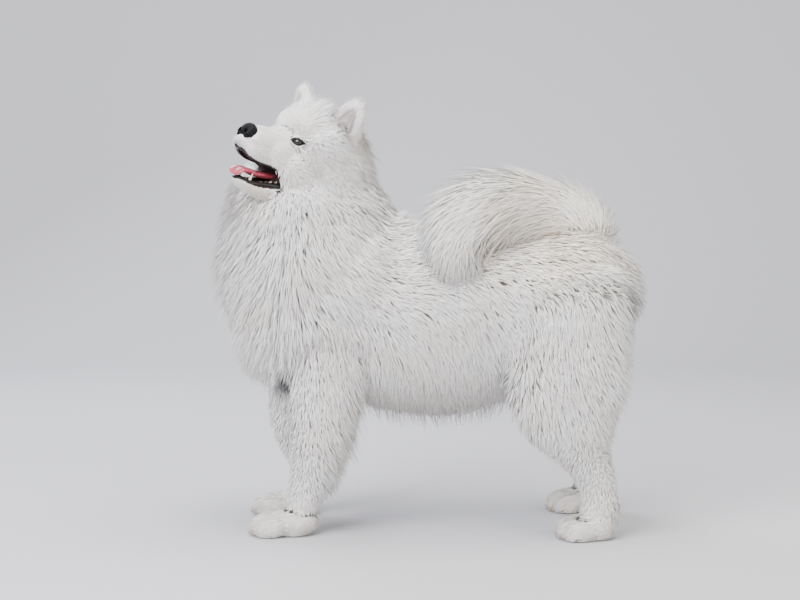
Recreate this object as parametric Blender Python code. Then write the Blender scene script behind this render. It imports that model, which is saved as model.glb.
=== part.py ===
"""A life-size Samoyed that stands square with its head raised, its mouth open and its tail curled over its back.

The frame is in metres with +Z up. The dog faces -Y, its left side is +X, and its soles rest at Z = 0.
Every outline below is that of the coat's tips. The solid core lies inside it by a share of the coat's depth.
"""

import math
import random
from collections import namedtuple

import bmesh
import bpy
import numpy as np
from mathutils import Euler, Matrix, Vector
from mathutils.bvhtree import BVHTree

GAP = 0.0003
SIDES = ((1, "left"), (-1, "right"))
CORE_SHARE = 0.45

WITHERS_Z = 0.575
BACK_Z = 0.565
BELLY_Z = 0.205
CHEST_FRONT_Y = -0.330
RUMP_BACK_Y = 0.425
FORE_STANCE_X = 0.085
HIND_STANCE_X = 0.115
FAR_ELBOW_LEAD = 0.054
FAR_PAW_LEAD = 0.008
FAR_HOCK_BACK = 0.016
FORE_PAW_Y = -0.202
HIND_PAW_Y = 0.341

# The head's own frame has its origin at the tip of the nose, +Y to the back of the head and +Z to its crown.
NOSE_TIP = Vector((0.122, -0.281, 0.7305))
HEAD_PITCH = math.radians(29)
HEAD_YAW = math.radians(38)
HEAD_ROLL = math.radians(9)
HEAD_TURN = (Matrix.Rotation(-HEAD_PITCH, 4, "X") @ Matrix.Rotation(HEAD_YAW, 4, "Z")
             @ Matrix.Rotation(-HEAD_ROLL, 4, "Y"))
HEAD_PLACE = Matrix.Translation(NOSE_TIP) @ HEAD_TURN
HEAD_CUT = (0, 0.166, -0.030)
HEAD_CUT_NORMAL = (0, 0.86, -0.51)

EYE_RADIUS = 0.0115
EYE_X, EYE_Y, EYE_Z = 0.0330, 0.098, 0.026
EYE_OUTWARD = math.radians(42)
EYE_SLANT = math.radians(14)
EYE_OPENING = (0.0112, 0.0100, 0.0050)
LID_THICKNESS = 0.0022
EYE_SIDES = 12

NOSE_HALF = (0.0190, 0.0130, 0.0150)
EAR_GAP = 0.0005
EAR_X, EAR_Y, EAR_Z = 0.054, 0.160, 0.066
EAR_SPLAY = math.radians(22)
EAR_OUTWARD = math.radians(20)
EAR_TILT_FORWARD = math.radians(4)
CHEEK_TEETH = (
    ((0.0225, 0.080, -0.069), 0.0036),
    ((0.0240, 0.089, -0.065), 0.0042),
    ((0.0255, 0.099, -0.061), 0.0042),
)

NECK_CUT = (0, -0.137, 0.452)
NECK_CUT_NORMAL = (0, -0.68, 0.73)
TAIL_CUT = (0, 0.250, 0.600)
TAIL_CUT_NORMAL = (0, -1, 0.2)
# Each leg's cut: its inner side, front, back, top, and where its paw starts. The belly stays with the torso.
LEG_CUTS = (
    ("foreleg", 0.030, -0.45, 0.02, 0.232, 0.070),
    ("hindleg", 0.040, 0.12, 0.60, 0.285, 0.058),
)

BODY_VOXEL = 0.007
HEAD_VOXEL = 0.0035
BODY_TRIANGLES = 1700
HEAD_TRIANGLES = 860
JAW_TRIANGLES = 240

Station = namedtuple("Station", "x y z half_width half_depth coat")
Lock = namedtuple("Lock", "length width rise hang")
Row = namedtuple("Row", "ring count first last lie lock tree")

DOWN = Vector((0, 0, -1))
# The coat's rows of locks. Each pair of the ruff gives a place between the nape and the chest, and a count.
RUFF_ROWS = ((0.06, 8), (0.25, 9), (0.45, 10), (0.65, 11), (0.84, 10))
RUFF_END = Vector((0, -0.130, 0.345))
RUFF_END_WAY = Vector((0, 0.1, -1)).normalized()
RUFF_REACH = 0.20
RUFF_LOCK = Lock(0.118, 0.094, 0.036, None)
FEATHER_ROWS = (0.34, 0.53, 0.72)
FEATHER_LOCK = Lock(0.074, 0.050, 0.012, Vector((0, 0.6, -0.8)))
BREECHES_ROWS = (0.27, 0.50)
BREECHES_SPAN = (-45, 135)
BREECHES_LIE = Vector((0, 0.41, -0.91))
BREECHES_LOCK = Lock(0.130, 0.095, 0.028, None)
FLANK_ROWS = (0.22, 0.42, 0.62, 0.82)
FLANK_LIE = Vector((0, 0.55, -0.84))
FLANK_LOCK = Lock(0.145, 0.112, 0.028, None)
FRINGE_ROWS = (0.24, 0.31, 0.38, 0.45, 0.52, 0.59, 0.66)
FRINGE_LOCK = Lock(0.052, 0.050, 0.020, Vector((0, 0.1, -1)).normalized())
RUMP_HEIGHTS = (0.515, 0.435, 0.350)
RUMP_CENTRE_Y = 0.330
RUMP_REACH = 0.12
RUMP_LIE = Vector((0, 0.45, -0.9))
RUMP_LOCK = Lock(0.120, 0.096, 0.036, None)
PLUME_ROWS = (0.10, 0.26, 0.42, 0.58, 0.74, 0.88)
PLUME_LOCK = Lock(0.125, 0.096, 0.040, None)
PLUME_DROOP = 0.3
HANG_HASTE = 1.6
# A lock that crosses another node is tried again: its root moved along, its tip lifted, its size shrunk.
LOCK_TRIES = (
    (0, 0, 1), (0.010, 0, 1), (0, 0.008, 1), (0.020, 0.004, 0.95), (0, 0, 0.8), (0.020, 0.012, 0.85),
    (0.030, 0.004, 0.8), (-0.015, 0.012, 0.85), (0.010, 0.014, 0.7), (0.030, 0.004, 0.65), (0, 0.004, 0.6),
)
SEED = 11
RAY_REACH = 1.6

# Each pair gives the lock's width and thickness at one place along it, as shares of the most that they reach.
LOCK_PROFILE = ((0.75, 0.9), (1.00, 1.0), (0.68, 0.75))
LOCK_THICKNESS_SHARE = 0.11
ROOT_SINK = 0.010
CLEARANCE = 0.0005
ON_NODE = 0.0015
LEAST_TURN_COSINE = 0.55
LEAST_TWIST_COSINE = 0.80

# Each row is a section of the trunk: place along the body, top and bottom of the coat, half width, coat depth.
TRUNK = (
    (CHEST_FRONT_Y + 0.085, 0.520, 0.330, 0.105, 0.050),
    (-0.160, WITHERS_Z, 0.255, 0.150, 0.050),
    (-0.060, WITHERS_Z, 0.225, 0.163, 0.048),
    (0.050, BACK_Z + 0.005, BELLY_Z, 0.163, 0.048),
    (0.160, BACK_Z, BELLY_Z + 0.020, 0.155, 0.048),
    (0.270, BACK_Z + 0.005, 0.270, 0.155, 0.050),
    (0.350, BACK_Z, 0.300, 0.140, 0.055),
    (RUMP_BACK_Y - 0.045, 0.530, 0.340, 0.105, 0.060),
)


def clear_scene():
    for obj in list(bpy.data.objects):
        bpy.data.objects.remove(obj)


def link_mesh(name, mesh):
    obj = bpy.data.objects.new(name, mesh)
    bpy.context.scene.collection.objects.link(obj)
    return obj


def object_from(name, bm):
    bmesh.ops.recalc_face_normals(bm, faces=bm.faces)
    mesh = bpy.data.meshes.new(name)
    bm.to_mesh(mesh)
    bm.free()
    return link_mesh(name, mesh)


def smooth_rows(rows, per_span=3):
    """Rows of numbers made denser along a Catmull-Rom curve that passes through each of them."""
    rows = np.array(rows, float)
    padded = np.vstack([2 * rows[0] - rows[1], rows, 2 * rows[-1] - rows[-2]])
    out = []
    for before, start, end, after in zip(padded, padded[1:], padded[2:], padded[3:]):
        for step in range(per_span):
            t = step / per_span
            out.append(0.5 * (2 * start + (end - before) * t
                              + (2 * before - 5 * start + 4 * end - after) * t**2
                              + (3 * start - before - 3 * end + after) * t**3))
    out.append(rows[-1])
    return np.array(out)


def rings_along(stations, per_span, share=CORE_SHARE):
    """The centre, directions and half sizes of the sections of a tube along its curve."""
    rows = smooth_rows(stations, per_span)
    centres = rows[:, :3]
    sizes = np.maximum(rows[:, 3:5] - share * rows[:, 5:6], 0.002)
    rings = []
    for centre, size, tangent in zip(centres, sizes, np.gradient(centres, axis=0)):
        ahead = Vector(tangent).normalized()
        across = (Vector((1, 0, 0)) - ahead * ahead.x).normalized()
        rings.append((Vector(centre), across, ahead.cross(across), ahead, size))
    return rings


def tube(name, stations, sides=20, per_span=3, end_reach=0.6):
    """A closed body with round ends along a curve. Its oval sections lie inside the coat by a share of its depth."""
    rings = rings_along(stations, per_span)
    full = []
    for turn in (75, 50, 25):
        centre, across, depth, ahead, size = rings[0]
        angle = math.radians(turn)
        back = -ahead * size.min() * end_reach * math.sin(angle)
        full.append((centre + back, across, depth, ahead, size * math.cos(angle)))
    full += rings
    for turn in (25, 50, 75):
        centre, across, depth, ahead, size = rings[-1]
        angle = math.radians(turn)
        on = ahead * size.min() * end_reach * math.sin(angle)
        full.append((centre + on, across, depth, ahead, size * math.cos(angle)))
    bm = bmesh.new()
    loops = []
    for centre, across, depth, _, size in full:
        angles = [2 * math.pi * k / sides for k in range(sides)]
        loops.append([bm.verts.new(centre + across * (size[0] * math.cos(a)) + depth * (size[1] * math.sin(a)))
                      for a in angles])
    for low, high in zip(loops, loops[1:]):
        for k in range(sides):
            bm.faces.new((low[k - 1], low[k], high[k], high[k - 1]))
    bm.faces.new(loops[0][::-1])
    bm.faces.new(loops[-1])
    return object_from(name, bm)


def ellipsoid(name, centre, radii, turn=(0, 0, 0), detail=3):
    bm = bmesh.new()
    place = Matrix.LocRotScale(Vector(centre), Euler([math.radians(a) for a in turn]), Vector(radii))
    bmesh.ops.create_icosphere(bm, subdivisions=detail, radius=1, matrix=place)
    return object_from(name, bm)


def block(name, low, high, grow=0):
    """A box between two corners, for cutting one node from the next."""
    low, high = Vector(low) - Vector((grow,) * 3), Vector(high) + Vector((grow,) * 3)
    bm = bmesh.new()
    bmesh.ops.create_cube(bm, size=1, matrix=Matrix.LocRotScale((low + high) / 2, None, high - low))
    return object_from(name, bm)


def applied(obj):
    """The object with its modifiers made part of its mesh."""
    graph = bpy.context.evaluated_depsgraph_get()
    mesh = bpy.data.meshes.new_from_object(obj.evaluated_get(graph))
    obj.modifiers.clear()
    obj.data = mesh
    return obj


def joined(name, pieces):
    bm = bmesh.new()
    for piece in pieces:
        piece.data.transform(piece.matrix_world)
        bm.from_mesh(piece.data)
        bpy.data.objects.remove(piece)
    mesh = bpy.data.meshes.new(name)
    bm.to_mesh(mesh)
    bm.free()
    return link_mesh(name, mesh)


def blended(name, pieces, voxel, triangles, softening=5):
    """The pieces run together into one smooth skin of about so many triangles."""
    obj = joined(name, pieces)
    remesh = obj.modifiers.new("Blend", "REMESH")
    remesh.mode = "VOXEL"
    remesh.voxel_size = voxel
    soften = obj.modifiers.new("Soften", "SMOOTH")
    soften.factor = 0.5
    soften.iterations = softening
    applied(obj)
    facets = obj.modifiers.new("Facets", "DECIMATE")
    facets.ratio = min(1.0, triangles / (2 * len(obj.data.polygons)))
    return applied(obj)


def largest_surface(obj):
    """Drops every closed surface of the mesh but the one that holds the most."""
    bm = bmesh.new()
    bm.from_mesh(obj.data)
    left, shells = set(bm.faces), []
    while left:
        stack, shell = [left.pop()], set()
        while stack:
            face = stack.pop()
            shell.add(face)
            for other in {linked for edge in face.edges for linked in edge.link_faces} & left:
                left.discard(other)
                stack.append(other)
        shells.append(shell)

    def held(shell):
        return sum(face.calc_center_median().dot(face.normal) * face.calc_area() for face in shell)

    keep = max(shells, key=held)
    bmesh.ops.delete(bm, geom=[face for face in bm.faces if face not in keep], context="FACES")
    bm.to_mesh(obj.data)
    bm.free()
    return obj


def enclosed(mesh):
    """The volume that a closed mesh holds."""
    mesh.calc_loop_triangles()
    places = np.empty(len(mesh.vertices) * 3)
    mesh.vertices.foreach_get("co", places)
    corners = np.empty(len(mesh.loop_triangles) * 3, np.int32)
    mesh.loop_triangles.foreach_get("vertices", corners)
    a, b, c = places.reshape(-1, 3)[corners].reshape(-1, 3, 3).transpose(1, 0, 2)
    return float(np.einsum("ij,ij->i", a, np.cross(b, c)).sum() / 6)


def is_closed(mesh):
    """True for a mesh that has faces, each edge of which lies between two of them."""
    uses = np.zeros(len(mesh.edges), int)
    edge_of_corner = np.empty(len(mesh.loops), np.int32)
    mesh.loops.foreach_get("edge_index", edge_of_corner)
    np.add.at(uses, edge_of_corner, 1)
    return len(uses) > 0 and bool((uses == 2).all())


def is_sound(obj):
    """True for a closed mesh that faces outwards and of which no two faces apart from each other cross."""
    tree = tree_of(obj)
    corners = [set(polygon.vertices) for polygon in obj.data.polygons]
    return enclosed(obj.data) > 0 and all(corners[a] & corners[b] for a, b in tree.overlap(tree))


def combined(obj, other, operation):
    """Joins, cuts or crosses an object with another, which is then removed.

    The exact solver's result is kept where it is closed and holds what it must, and the manifold solver's if not.
    """
    whole = obj.data.copy()
    before, added = enclosed(whole), enclosed(other.data)
    least = {"UNION": before, "DIFFERENCE": before - added, "INTERSECT": 0}[operation]
    most = {"UNION": before + added, "DIFFERENCE": before, "INTERSECT": before}[operation]
    slack = before * 0.001
    for solver in ("EXACT", "MANIFOLD"):
        boolean = obj.modifiers.new("Meet", "BOOLEAN")
        boolean.operation = operation
        boolean.solver = solver
        boolean.object = other
        applied(obj)
        if is_closed(obj.data) and least - slack < enclosed(obj.data) < most + slack:
            break
        obj.data = whole.copy()
    bpy.data.objects.remove(other)
    return largest_surface(obj)


def copied(obj, name, grow=0.0):
    """A copy, grown outwards by a distance."""
    bm = bmesh.new()
    bm.from_mesh(obj.data)
    bm.normal_update()
    for vert in bm.verts:
        vert.co += vert.normal * grow * vert.calc_shell_factor()
    mesh = bpy.data.meshes.new(name)
    bm.to_mesh(mesh)
    bm.free()
    return link_mesh(name, mesh)


def material(name, colour, roughness):
    made = bpy.data.materials.new(name)
    made.use_nodes = True
    shader = made.node_tree.nodes["Principled BSDF"]
    shader.inputs["Base Color"].default_value = (*colour, 1)
    shader.inputs["Roughness"].default_value = roughness
    return made


def in_triangles(obj):
    """Cuts every face into triangles, and drops each pair of them that lie back to back."""
    bm = bmesh.new()
    bm.from_mesh(obj.data)
    bmesh.ops.triangulate(bm, faces=bm.faces)
    by_corners = {}
    for face in bm.faces:
        by_corners.setdefault(frozenset(face.verts), []).append(face)
    pairs = [face for faces in by_corners.values() if len(faces) == 2 for face in faces]
    bmesh.ops.delete(bm, geom=pairs, context="FACES")
    bm.to_mesh(obj.data)
    bm.free()


def finished(obj, name, finish):
    in_triangles(obj)
    obj.name = name
    obj.data.name = name
    obj.data.materials.clear()
    obj.data.materials.append(finish)
    for polygon in obj.data.polygons:
        polygon.material_index = 0
    obj.data.shade_smooth()
    obj.data.set_sharp_from_angle(angle=math.radians(40))
    return obj


def trunk_stations():
    return [Station(0, y, (top + bottom) / 2, width, (top - bottom) / 2, coat)
            for y, top, bottom, width, coat in TRUNK]


def neck_stations():
    """Up from the chest into the back of the head, which is cut off from it later."""
    return [
        Station(0.000, -0.145, 0.370, 0.165, 0.175, 0.06),
        Station(0.000, -0.158, 0.460, 0.180, 0.184, 0.07),
        Station(0.002, -0.162, 0.540, 0.172, 0.182, 0.07),
        Station(0.008, -0.165, 0.605, 0.142, 0.158, 0.05),
        Station(0.018, -0.152, 0.660, 0.104, 0.120, 0.04),
        Station(0.032, -0.152, 0.705, 0.090, 0.100, 0.03),
    ]


def foreleg_stations(side):
    """From the upper arm down to the pastern. The right leg stands a little ahead, most of all at its elbow."""
    x = side * FORE_STANCE_X
    elbow, paw = (0, 0) if side > 0 else (-FAR_ELBOW_LEAD, -FAR_PAW_LEAD)
    return [
        Station(x + side * 0.010, -0.120 + elbow, 0.360, 0.062, 0.090, 0.03),
        Station(x + side * 0.004, -0.140 + elbow, 0.250, 0.050, 0.062, 0.025),
        Station(x, -0.152 + 0.8 * elbow, 0.170, 0.042, 0.052, 0.02),
        Station(x, -0.166 + paw, 0.095, 0.034, 0.038, 0.012),
        Station(x, -0.176 + paw, 0.055, 0.034, 0.036, 0.008),
    ]


def hindleg_stations(side):
    """From the thigh, with its breeches, down to the hind pastern. The right leg's hock stands a little back."""
    x = side * HIND_STANCE_X
    hock = 0 if side > 0 else FAR_HOCK_BACK
    return [
        Station(x - side * 0.020, 0.300, 0.430, 0.075, 0.125, 0.04),
        Station(x - side * 0.008, 0.302, 0.320, 0.072, 0.125, 0.05),
        Station(x - side * 0.002, 0.298, 0.240, 0.060, 0.108, 0.04),
        Station(x, 0.322 + hock, 0.172, 0.046, 0.062, 0.03),
        Station(x, 0.348 + hock, 0.118, 0.036, 0.041, 0.012),
        Station(x, 0.358 + hock, 0.075, 0.034, 0.038, 0.012),
        Station(x, 0.356 + 0.5 * hock, 0.045, 0.034, 0.040, 0.008),
    ]


def tail_stations():
    """Up from the croup, forwards over the back and down the left side."""
    return [
        Station(0.000, 0.330, 0.480, 0.050, 0.052, 0.04),
        Station(0.002, 0.338, 0.532, 0.066, 0.068, 0.05),
        Station(0.012, 0.305, 0.566, 0.078, 0.078, 0.07),
        Station(0.030, 0.232, 0.585, 0.082, 0.084, 0.08),
        Station(0.055, 0.155, 0.586, 0.082, 0.088, 0.08),
        Station(0.080, 0.102, 0.556, 0.074, 0.080, 0.08),
        Station(0.100, 0.098, 0.505, 0.050, 0.055, 0.07),
    ]


PAW_HALF_WIDTH = 0.040
TOE_SPREAD = (-0.030, -0.011, 0.011, 0.030)
TOE_LEAD = (0.000, 0.013, 0.013, 0.000)
PAD_BACK = 0.010


def paw_pieces(x, y, half_length):
    """The foot's back, its four toes and its heel pad. The toes in the middle reach furthest.

    The pads reach a little below the floor, which later cuts them off flat.
    """
    pieces = [
        ellipsoid("instep", (x, y + 0.010, 0.023), (PAW_HALF_WIDTH * 0.92, half_length * 0.74, 0.024)),
        ellipsoid("pad", (x, y + PAD_BACK, 0.012), (0.033, 0.031, 0.021)),
    ]
    for spread, lead in zip(TOE_SPREAD, TOE_LEAD):
        toe_y = y - half_length + 0.030 - lead
        pieces.append(ellipsoid("toe", (x + spread, toe_y, 0.016), (0.0125, 0.028, 0.021), (12, 0, 0)))
    return pieces


def make_body():
    """The trunk, neck and legs as one blended core."""
    pieces = [tube("trunk", trunk_stations()), tube("neck", neck_stations())]
    for side in (1, -1):
        pieces.append(tube("foreleg", foreleg_stations(side), sides=16))
        pieces.append(tube("hindleg", hindleg_stations(side), sides=16))
        lead = 0 if side > 0 else -FAR_PAW_LEAD
        pieces += paw_pieces(side * FORE_STANCE_X, FORE_PAW_Y + lead, 0.062)
        pieces += paw_pieces(side * HIND_STANCE_X, HIND_PAW_Y, 0.052)
    body = blended("body", pieces, BODY_VOXEL, BODY_TRIANGLES)
    floor = block("floor", (-1, -1, -1), (1, 1, 0))
    return combined(body, floor, "DIFFERENCE")


def make_skull():
    """Skull, cheeks, brows and the upper muzzle, cut off flat where the neck begins."""
    muzzle = [
        Station(0, 0.008, -0.006, 0.019, 0.018, 0),
        Station(0, 0.024, -0.009, 0.026, 0.025, 0),
        Station(0, 0.060, -0.007, 0.033, 0.031, 0),
        Station(0, 0.100, 0.002, 0.043, 0.041, 0),
        Station(0, 0.130, 0.010, 0.055, 0.050, 0),
    ]
    pieces = [
        tube("muzzle", muzzle, sides=24),
        ellipsoid("cranium", (0, 0.152, 0.036), (0.071, 0.074, 0.067)),
        ellipsoid("nape", (0, 0.190, -0.010), (0.078, 0.060, 0.078)),
    ]
    for side in (1, -1):
        pieces.append(ellipsoid("cheek", (side * 0.036, 0.146, -0.022), (0.044, 0.062, 0.054)))
        pieces.append(ellipsoid("brow", (side * 0.026, 0.117, 0.050), (0.031, 0.028, 0.026)))
        pieces.append(ellipsoid("flew", (side * 0.021, 0.058, -0.025), (0.013, 0.042, 0.017)))
    skull = blended("skull", pieces, HEAD_VOXEL, HEAD_TRIANGLES, softening=12)
    return combined(skull, half_space("nape", HEAD_CUT, HEAD_CUT_NORMAL), "DIFFERENCE")


def eye_place(side):
    return Matrix.Translation((side * EYE_X, EYE_Y, EYE_Z)) @ Matrix.Rotation(side * EYE_OUTWARD, 4, "Z")


def sphere_at(name, place, radius):
    bm = bmesh.new()
    bmesh.ops.create_uvsphere(bm, u_segments=EYE_SIDES, v_segments=EYE_SIDES // 2, radius=radius, matrix=place)
    return object_from(name, bm)


def add_lids(skull):
    """Each eye lies in a socket behind lids with an almond opening that slants up and outwards."""
    for side in (1, -1):
        place = eye_place(side)
        combined(skull, sphere_at("lid", place, EYE_RADIUS + LID_THICKNESS), "UNION")
        opening = ellipsoid("opening", (0, 0, 0), (1, 1, 1), detail=2)
        opening.data.transform(place @ Matrix.Translation((0, -EYE_RADIUS, 0))
                               @ Matrix.Rotation(-side * EYE_SLANT, 4, "Y")
                               @ Matrix.Diagonal((*EYE_OPENING, 1)))
        combined(skull, opening, "DIFFERENCE")
        combined(skull, sphere_at("socket", place, EYE_RADIUS + GAP), "DIFFERENCE")


def make_eye(side):
    return sphere_at("eye", eye_place(side), EYE_RADIUS)


def make_nose(grow=0.0):
    """The nose leather before its nostrils are cut, grown by a distance where it is to make its own seat."""
    return ellipsoid("nose", (0, 0.012, 0.004), [half + grow for half in NOSE_HALF])


def cut_nostrils(nose):
    """A nostril on each side opens forwards and curls outwards in a slit, with a groove between them."""
    for side in (1, -1):
        nostril = [
            Station(side * 0.0065, -0.004, 0.003, 0.0032, 0.0032, 0),
            Station(side * 0.0090, 0.004, 0.004, 0.0036, 0.0036, 0),
            Station(side * 0.0090, 0.012, 0.004, 0.0020, 0.0020, 0),
        ]
        combined(nose, tube("nostril", nostril, sides=5, per_span=1), "DIFFERENCE")
        slit = ellipsoid("slit", (side * 0.0150, 0.004, 0.000), (0.0060, 0.0090, 0.0016), (0, side * 30, 0), 1)
        combined(nose, slit, "DIFFERENCE")
    groove = ellipsoid("groove", (0.0001, -0.002, -0.005), (0.0010, 0.0045, 0.0110), detail=1)
    return combined(nose, groove, "DIFFERENCE")


def make_jaw():
    """The lower jaw, hanging open, with its lip round a trough for the tongue and the teeth that show."""
    bone = [
        Station(0, 0.036, -0.078, 0.017, 0.010, 0),
        Station(0, 0.050, -0.081, 0.023, 0.013, 0),
        Station(0, 0.080, -0.077, 0.031, 0.020, 0),
        Station(0, 0.112, -0.066, 0.040, 0.030, 0),
        Station(0, 0.140, -0.050, 0.046, 0.040, 0),
    ]
    jaw = blended("jaw", [tube("bone", bone, sides=20)], HEAD_VOXEL, JAW_TRIANGLES, softening=2)
    trough = ellipsoid("trough", (0, 0.074, -0.058), (0.017, 0.048, 0.013), (-8, 0, 0), detail=2)
    combined(jaw, trough, "DIFFERENCE")
    for side in (1, -1):
        combined(jaw, tooth("canine", (side * 0.0172, 0.050, -0.071), 0.0032, 0.013), "UNION")
        for place, half in CHEEK_TEETH:
            combined(jaw, tooth("cheek_tooth", (side * place[0], place[1], place[2]), half, 0.008), "UNION")
    return combined(jaw, half_space("nape", HEAD_CUT, HEAD_CUT_NORMAL), "DIFFERENCE")


def tooth(name, root, half_width, height):
    bm = bmesh.new()
    bmesh.ops.create_cone(bm, segments=6, radius1=half_width, radius2=half_width * 0.25, depth=height,
                          cap_ends=True, matrix=Matrix.Translation(Vector(root) + Vector((0, 0, height / 2))))
    return object_from(name, bm)


def make_tongue():
    """It rises from the mouth's floor and laps over the lower lip."""
    blade = [
        Station(0, 0.112, -0.047, 0.012, 0.005, 0),
        Station(0, 0.085, -0.054, 0.016, 0.006, 0),
        Station(0, 0.060, -0.0585, 0.018, 0.006, 0),
        Station(0, 0.042, -0.0600, 0.020, 0.0055, 0),
        Station(0, 0.029, -0.0645, 0.019, 0.005, 0),
        Station(0, 0.024, -0.0720, 0.014, 0.004, 0),
    ]
    return tube("tongue", blade, sides=8, per_span=1)


def make_ear(side):
    """A thick upright ear with a rounded tip. Its cup faces forwards and outwards."""
    pinna = [
        Station(0, 0.010, -0.026, 0.034, 0.019, 0),
        Station(0, 0.005, 0.000, 0.033, 0.017, 0),
        Station(0, 0.001, 0.028, 0.028, 0.014, 0),
        Station(0, -0.002, 0.052, 0.019, 0.011, 0),
        Station(0, -0.003, 0.066, 0.009, 0.007, 0),
    ]
    cup = [
        Station(0, -0.006, -0.010, 0.014, 0.010, 0),
        Station(0, -0.010, 0.012, 0.020, 0.014, 0),
        Station(0, -0.012, 0.034, 0.016, 0.012, 0),
        Station(0, -0.013, 0.052, 0.008, 0.008, 0),
    ]
    ear = tube("ear", pinna, sides=12, per_span=1)
    combined(ear, tube("cup", cup, sides=9, per_span=1), "DIFFERENCE")
    lean = (Matrix.Rotation(side * EAR_SPLAY, 4, "Y") @ Matrix.Rotation(EAR_TILT_FORWARD, 4, "X")
            @ Matrix.Rotation(side * EAR_OUTWARD, 4, "Z"))
    ear.data.transform(Matrix.Translation((side * EAR_X, EAR_Y, EAR_Z)) @ lean)
    return ear


def half_space(name, point, normal, grow=0):
    """A large block on one side of a plane, grown across it by a distance."""
    normal = Vector(normal).normalized()
    side = 1.2
    bm = bmesh.new()
    centre = Vector(point) + normal * (side / 2 - grow)
    turn = normal.to_track_quat("Z", "Y")
    bmesh.ops.create_cube(bm, size=side, matrix=Matrix.LocRotScale(centre, turn, None))
    return object_from(name, bm)


def split_off(rest, name, region):
    """The part of a body inside a region, cut from the rest with a thin gap. region(grow) makes the cutter."""
    part = copied(rest, name)
    combined(part, region(0), "INTERSECT")
    combined(rest, region(GAP), "DIFFERENCE")
    return part


def seat_against(piece, *neighbours, gap=GAP):
    """Cuts a piece back so that it meets its neighbours face to face."""
    for neighbour in neighbours:
        combined(piece, copied(neighbour, "cutter", gap), "DIFFERENCE")
    return piece


def part_body(body):
    """The neck, the four legs and their paws are cut from the trunk, which stays as the torso."""
    nodes = {}
    nodes["neck"] = split_off(body, "neck", lambda grow: half_space("cutter", NECK_CUT, NECK_CUT_NORMAL, grow))
    for side, word in SIDES:
        for leg, reach_in, front, back, top, wrist in LEG_CUTS:
            inner, outer = sorted((side * reach_in, side * 0.5))
            low = (inner, front, -0.1)
            limb = split_off(body, leg, lambda grow: block("cutter", low, (outer, back, top), grow))
            paw = split_off(limb, "paw", lambda grow: block("cutter", low, (outer, back, wrist), grow))
            nodes[f"{leg}_{word}"] = limb
            nodes[f"{leg.replace('leg', 'paw')}_{word}"] = paw
    nodes["torso"] = body
    return nodes


def make_head():
    """The head's nodes, made in its own frame and then set in place."""
    skull = make_skull()
    ears = {word: seat_against(make_ear(side), skull, gap=EAR_GAP) for side, word in SIDES}
    add_lids(skull)
    combined(skull, make_nose(GAP), "DIFFERENCE")
    jaw = seat_against(make_jaw(), skull)
    nodes = {
        "head": skull,
        "nose": cut_nostrils(make_nose()),
        "jaw": jaw,
        "tongue": seat_against(make_tongue(), skull, jaw),
    }
    for side, word in SIDES:
        nodes[f"eye_{word}"] = make_eye(side)
        nodes[f"ear_{word}"] = ears[word]
    for node in nodes.values():
        node.data.transform(HEAD_PLACE)
    return nodes


def tree_of(obj, grow=0.0):
    """A search tree of an object's surface, grown outwards by a distance."""
    mesh = obj.data
    places = [vert.co + vert.normal * grow for vert in mesh.vertices]
    return BVHTree.FromPolygons(places, [polygon.vertices[:] for polygon in mesh.polygons])


def lock_path(lock, root, up, lie, surface):
    """The places along a lock with the way that its outer side faces, from its sunk root to its tip.

    A lock that hangs leaves the surface and turns towards its own way. Any other rises slowly over the surface.
    """
    steps = len(LOCK_PROFILE)
    along = (lie - up * lie.dot(up)).normalized()
    places = [root - (up + along) * ROOT_SINK]
    ups = [up]
    spot = root
    for step in range(1, steps + 1):
        share = step / steps
        if lock.hang:
            way = along.lerp(lock.hang, min(1, HANG_HASTE * share)).normalized()
            spot = spot + way * (lock.length / steps)
            up = (up - way * up.dot(way)).normalized()
        else:
            along = (lie - up * lie.dot(up)).normalized()
            spot, facing, _, _ = surface.find_nearest(spot + along * (lock.length / steps))
            up = up.lerp(facing, 0.6).normalized()
        places.append(spot + up * (lock.rise * share))
        ups.append(up)
    return places, ups


def bends_gently(places, ups):
    """False for a path so crooked that the lock's sections would cross."""
    ways = [(after - place).normalized() for place, after in zip(places, places[1:])]
    sides = [way.cross(up).normalized() for way, up in zip(ways, ups)]
    turns = [before.dot(after) for before, after in zip(ways, ways[1:])]
    twists = [before.dot(after) for before, after in zip(sides, sides[1:])]
    return min(turns) > LEAST_TURN_COSINE and min(twists) > LEAST_TWIST_COSINE


def lock_body(lock, places, ups, grow=0.0):
    """A flat lock with three sides. It swells from its root, tapers to its tip, and has a ridge along its middle."""
    bm = bmesh.new()
    loops = []
    for (wide, thick), place, after, up in zip(LOCK_PROFILE, places, places[1:], ups):
        across = (after - place).cross(up).normalized()
        edge = across * (lock.width / 2 * wide + grow)
        ridge = up * (LOCK_THICKNESS_SHARE * lock.width * thick + grow)
        loops.append([bm.verts.new(place + corner) for corner in (-edge - up * grow, edge - up * grow, ridge)])
    bm.faces.new(loops[0][::-1])
    for low, high in zip(loops, loops[1:]):
        for k in range(3):
            bm.faces.new((low[k - 1], low[k], high[k], high[k - 1]))
    tip = bm.verts.new(places[-1] + (places[-1] - places[-2]).normalized() * grow)
    for k in range(3):
        bm.faces.new((loops[-1][k - 1], loops[-1][k], tip))
    bmesh.ops.triangulate(bm, faces=bm.faces)
    return object_from("lock", bm)


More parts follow.
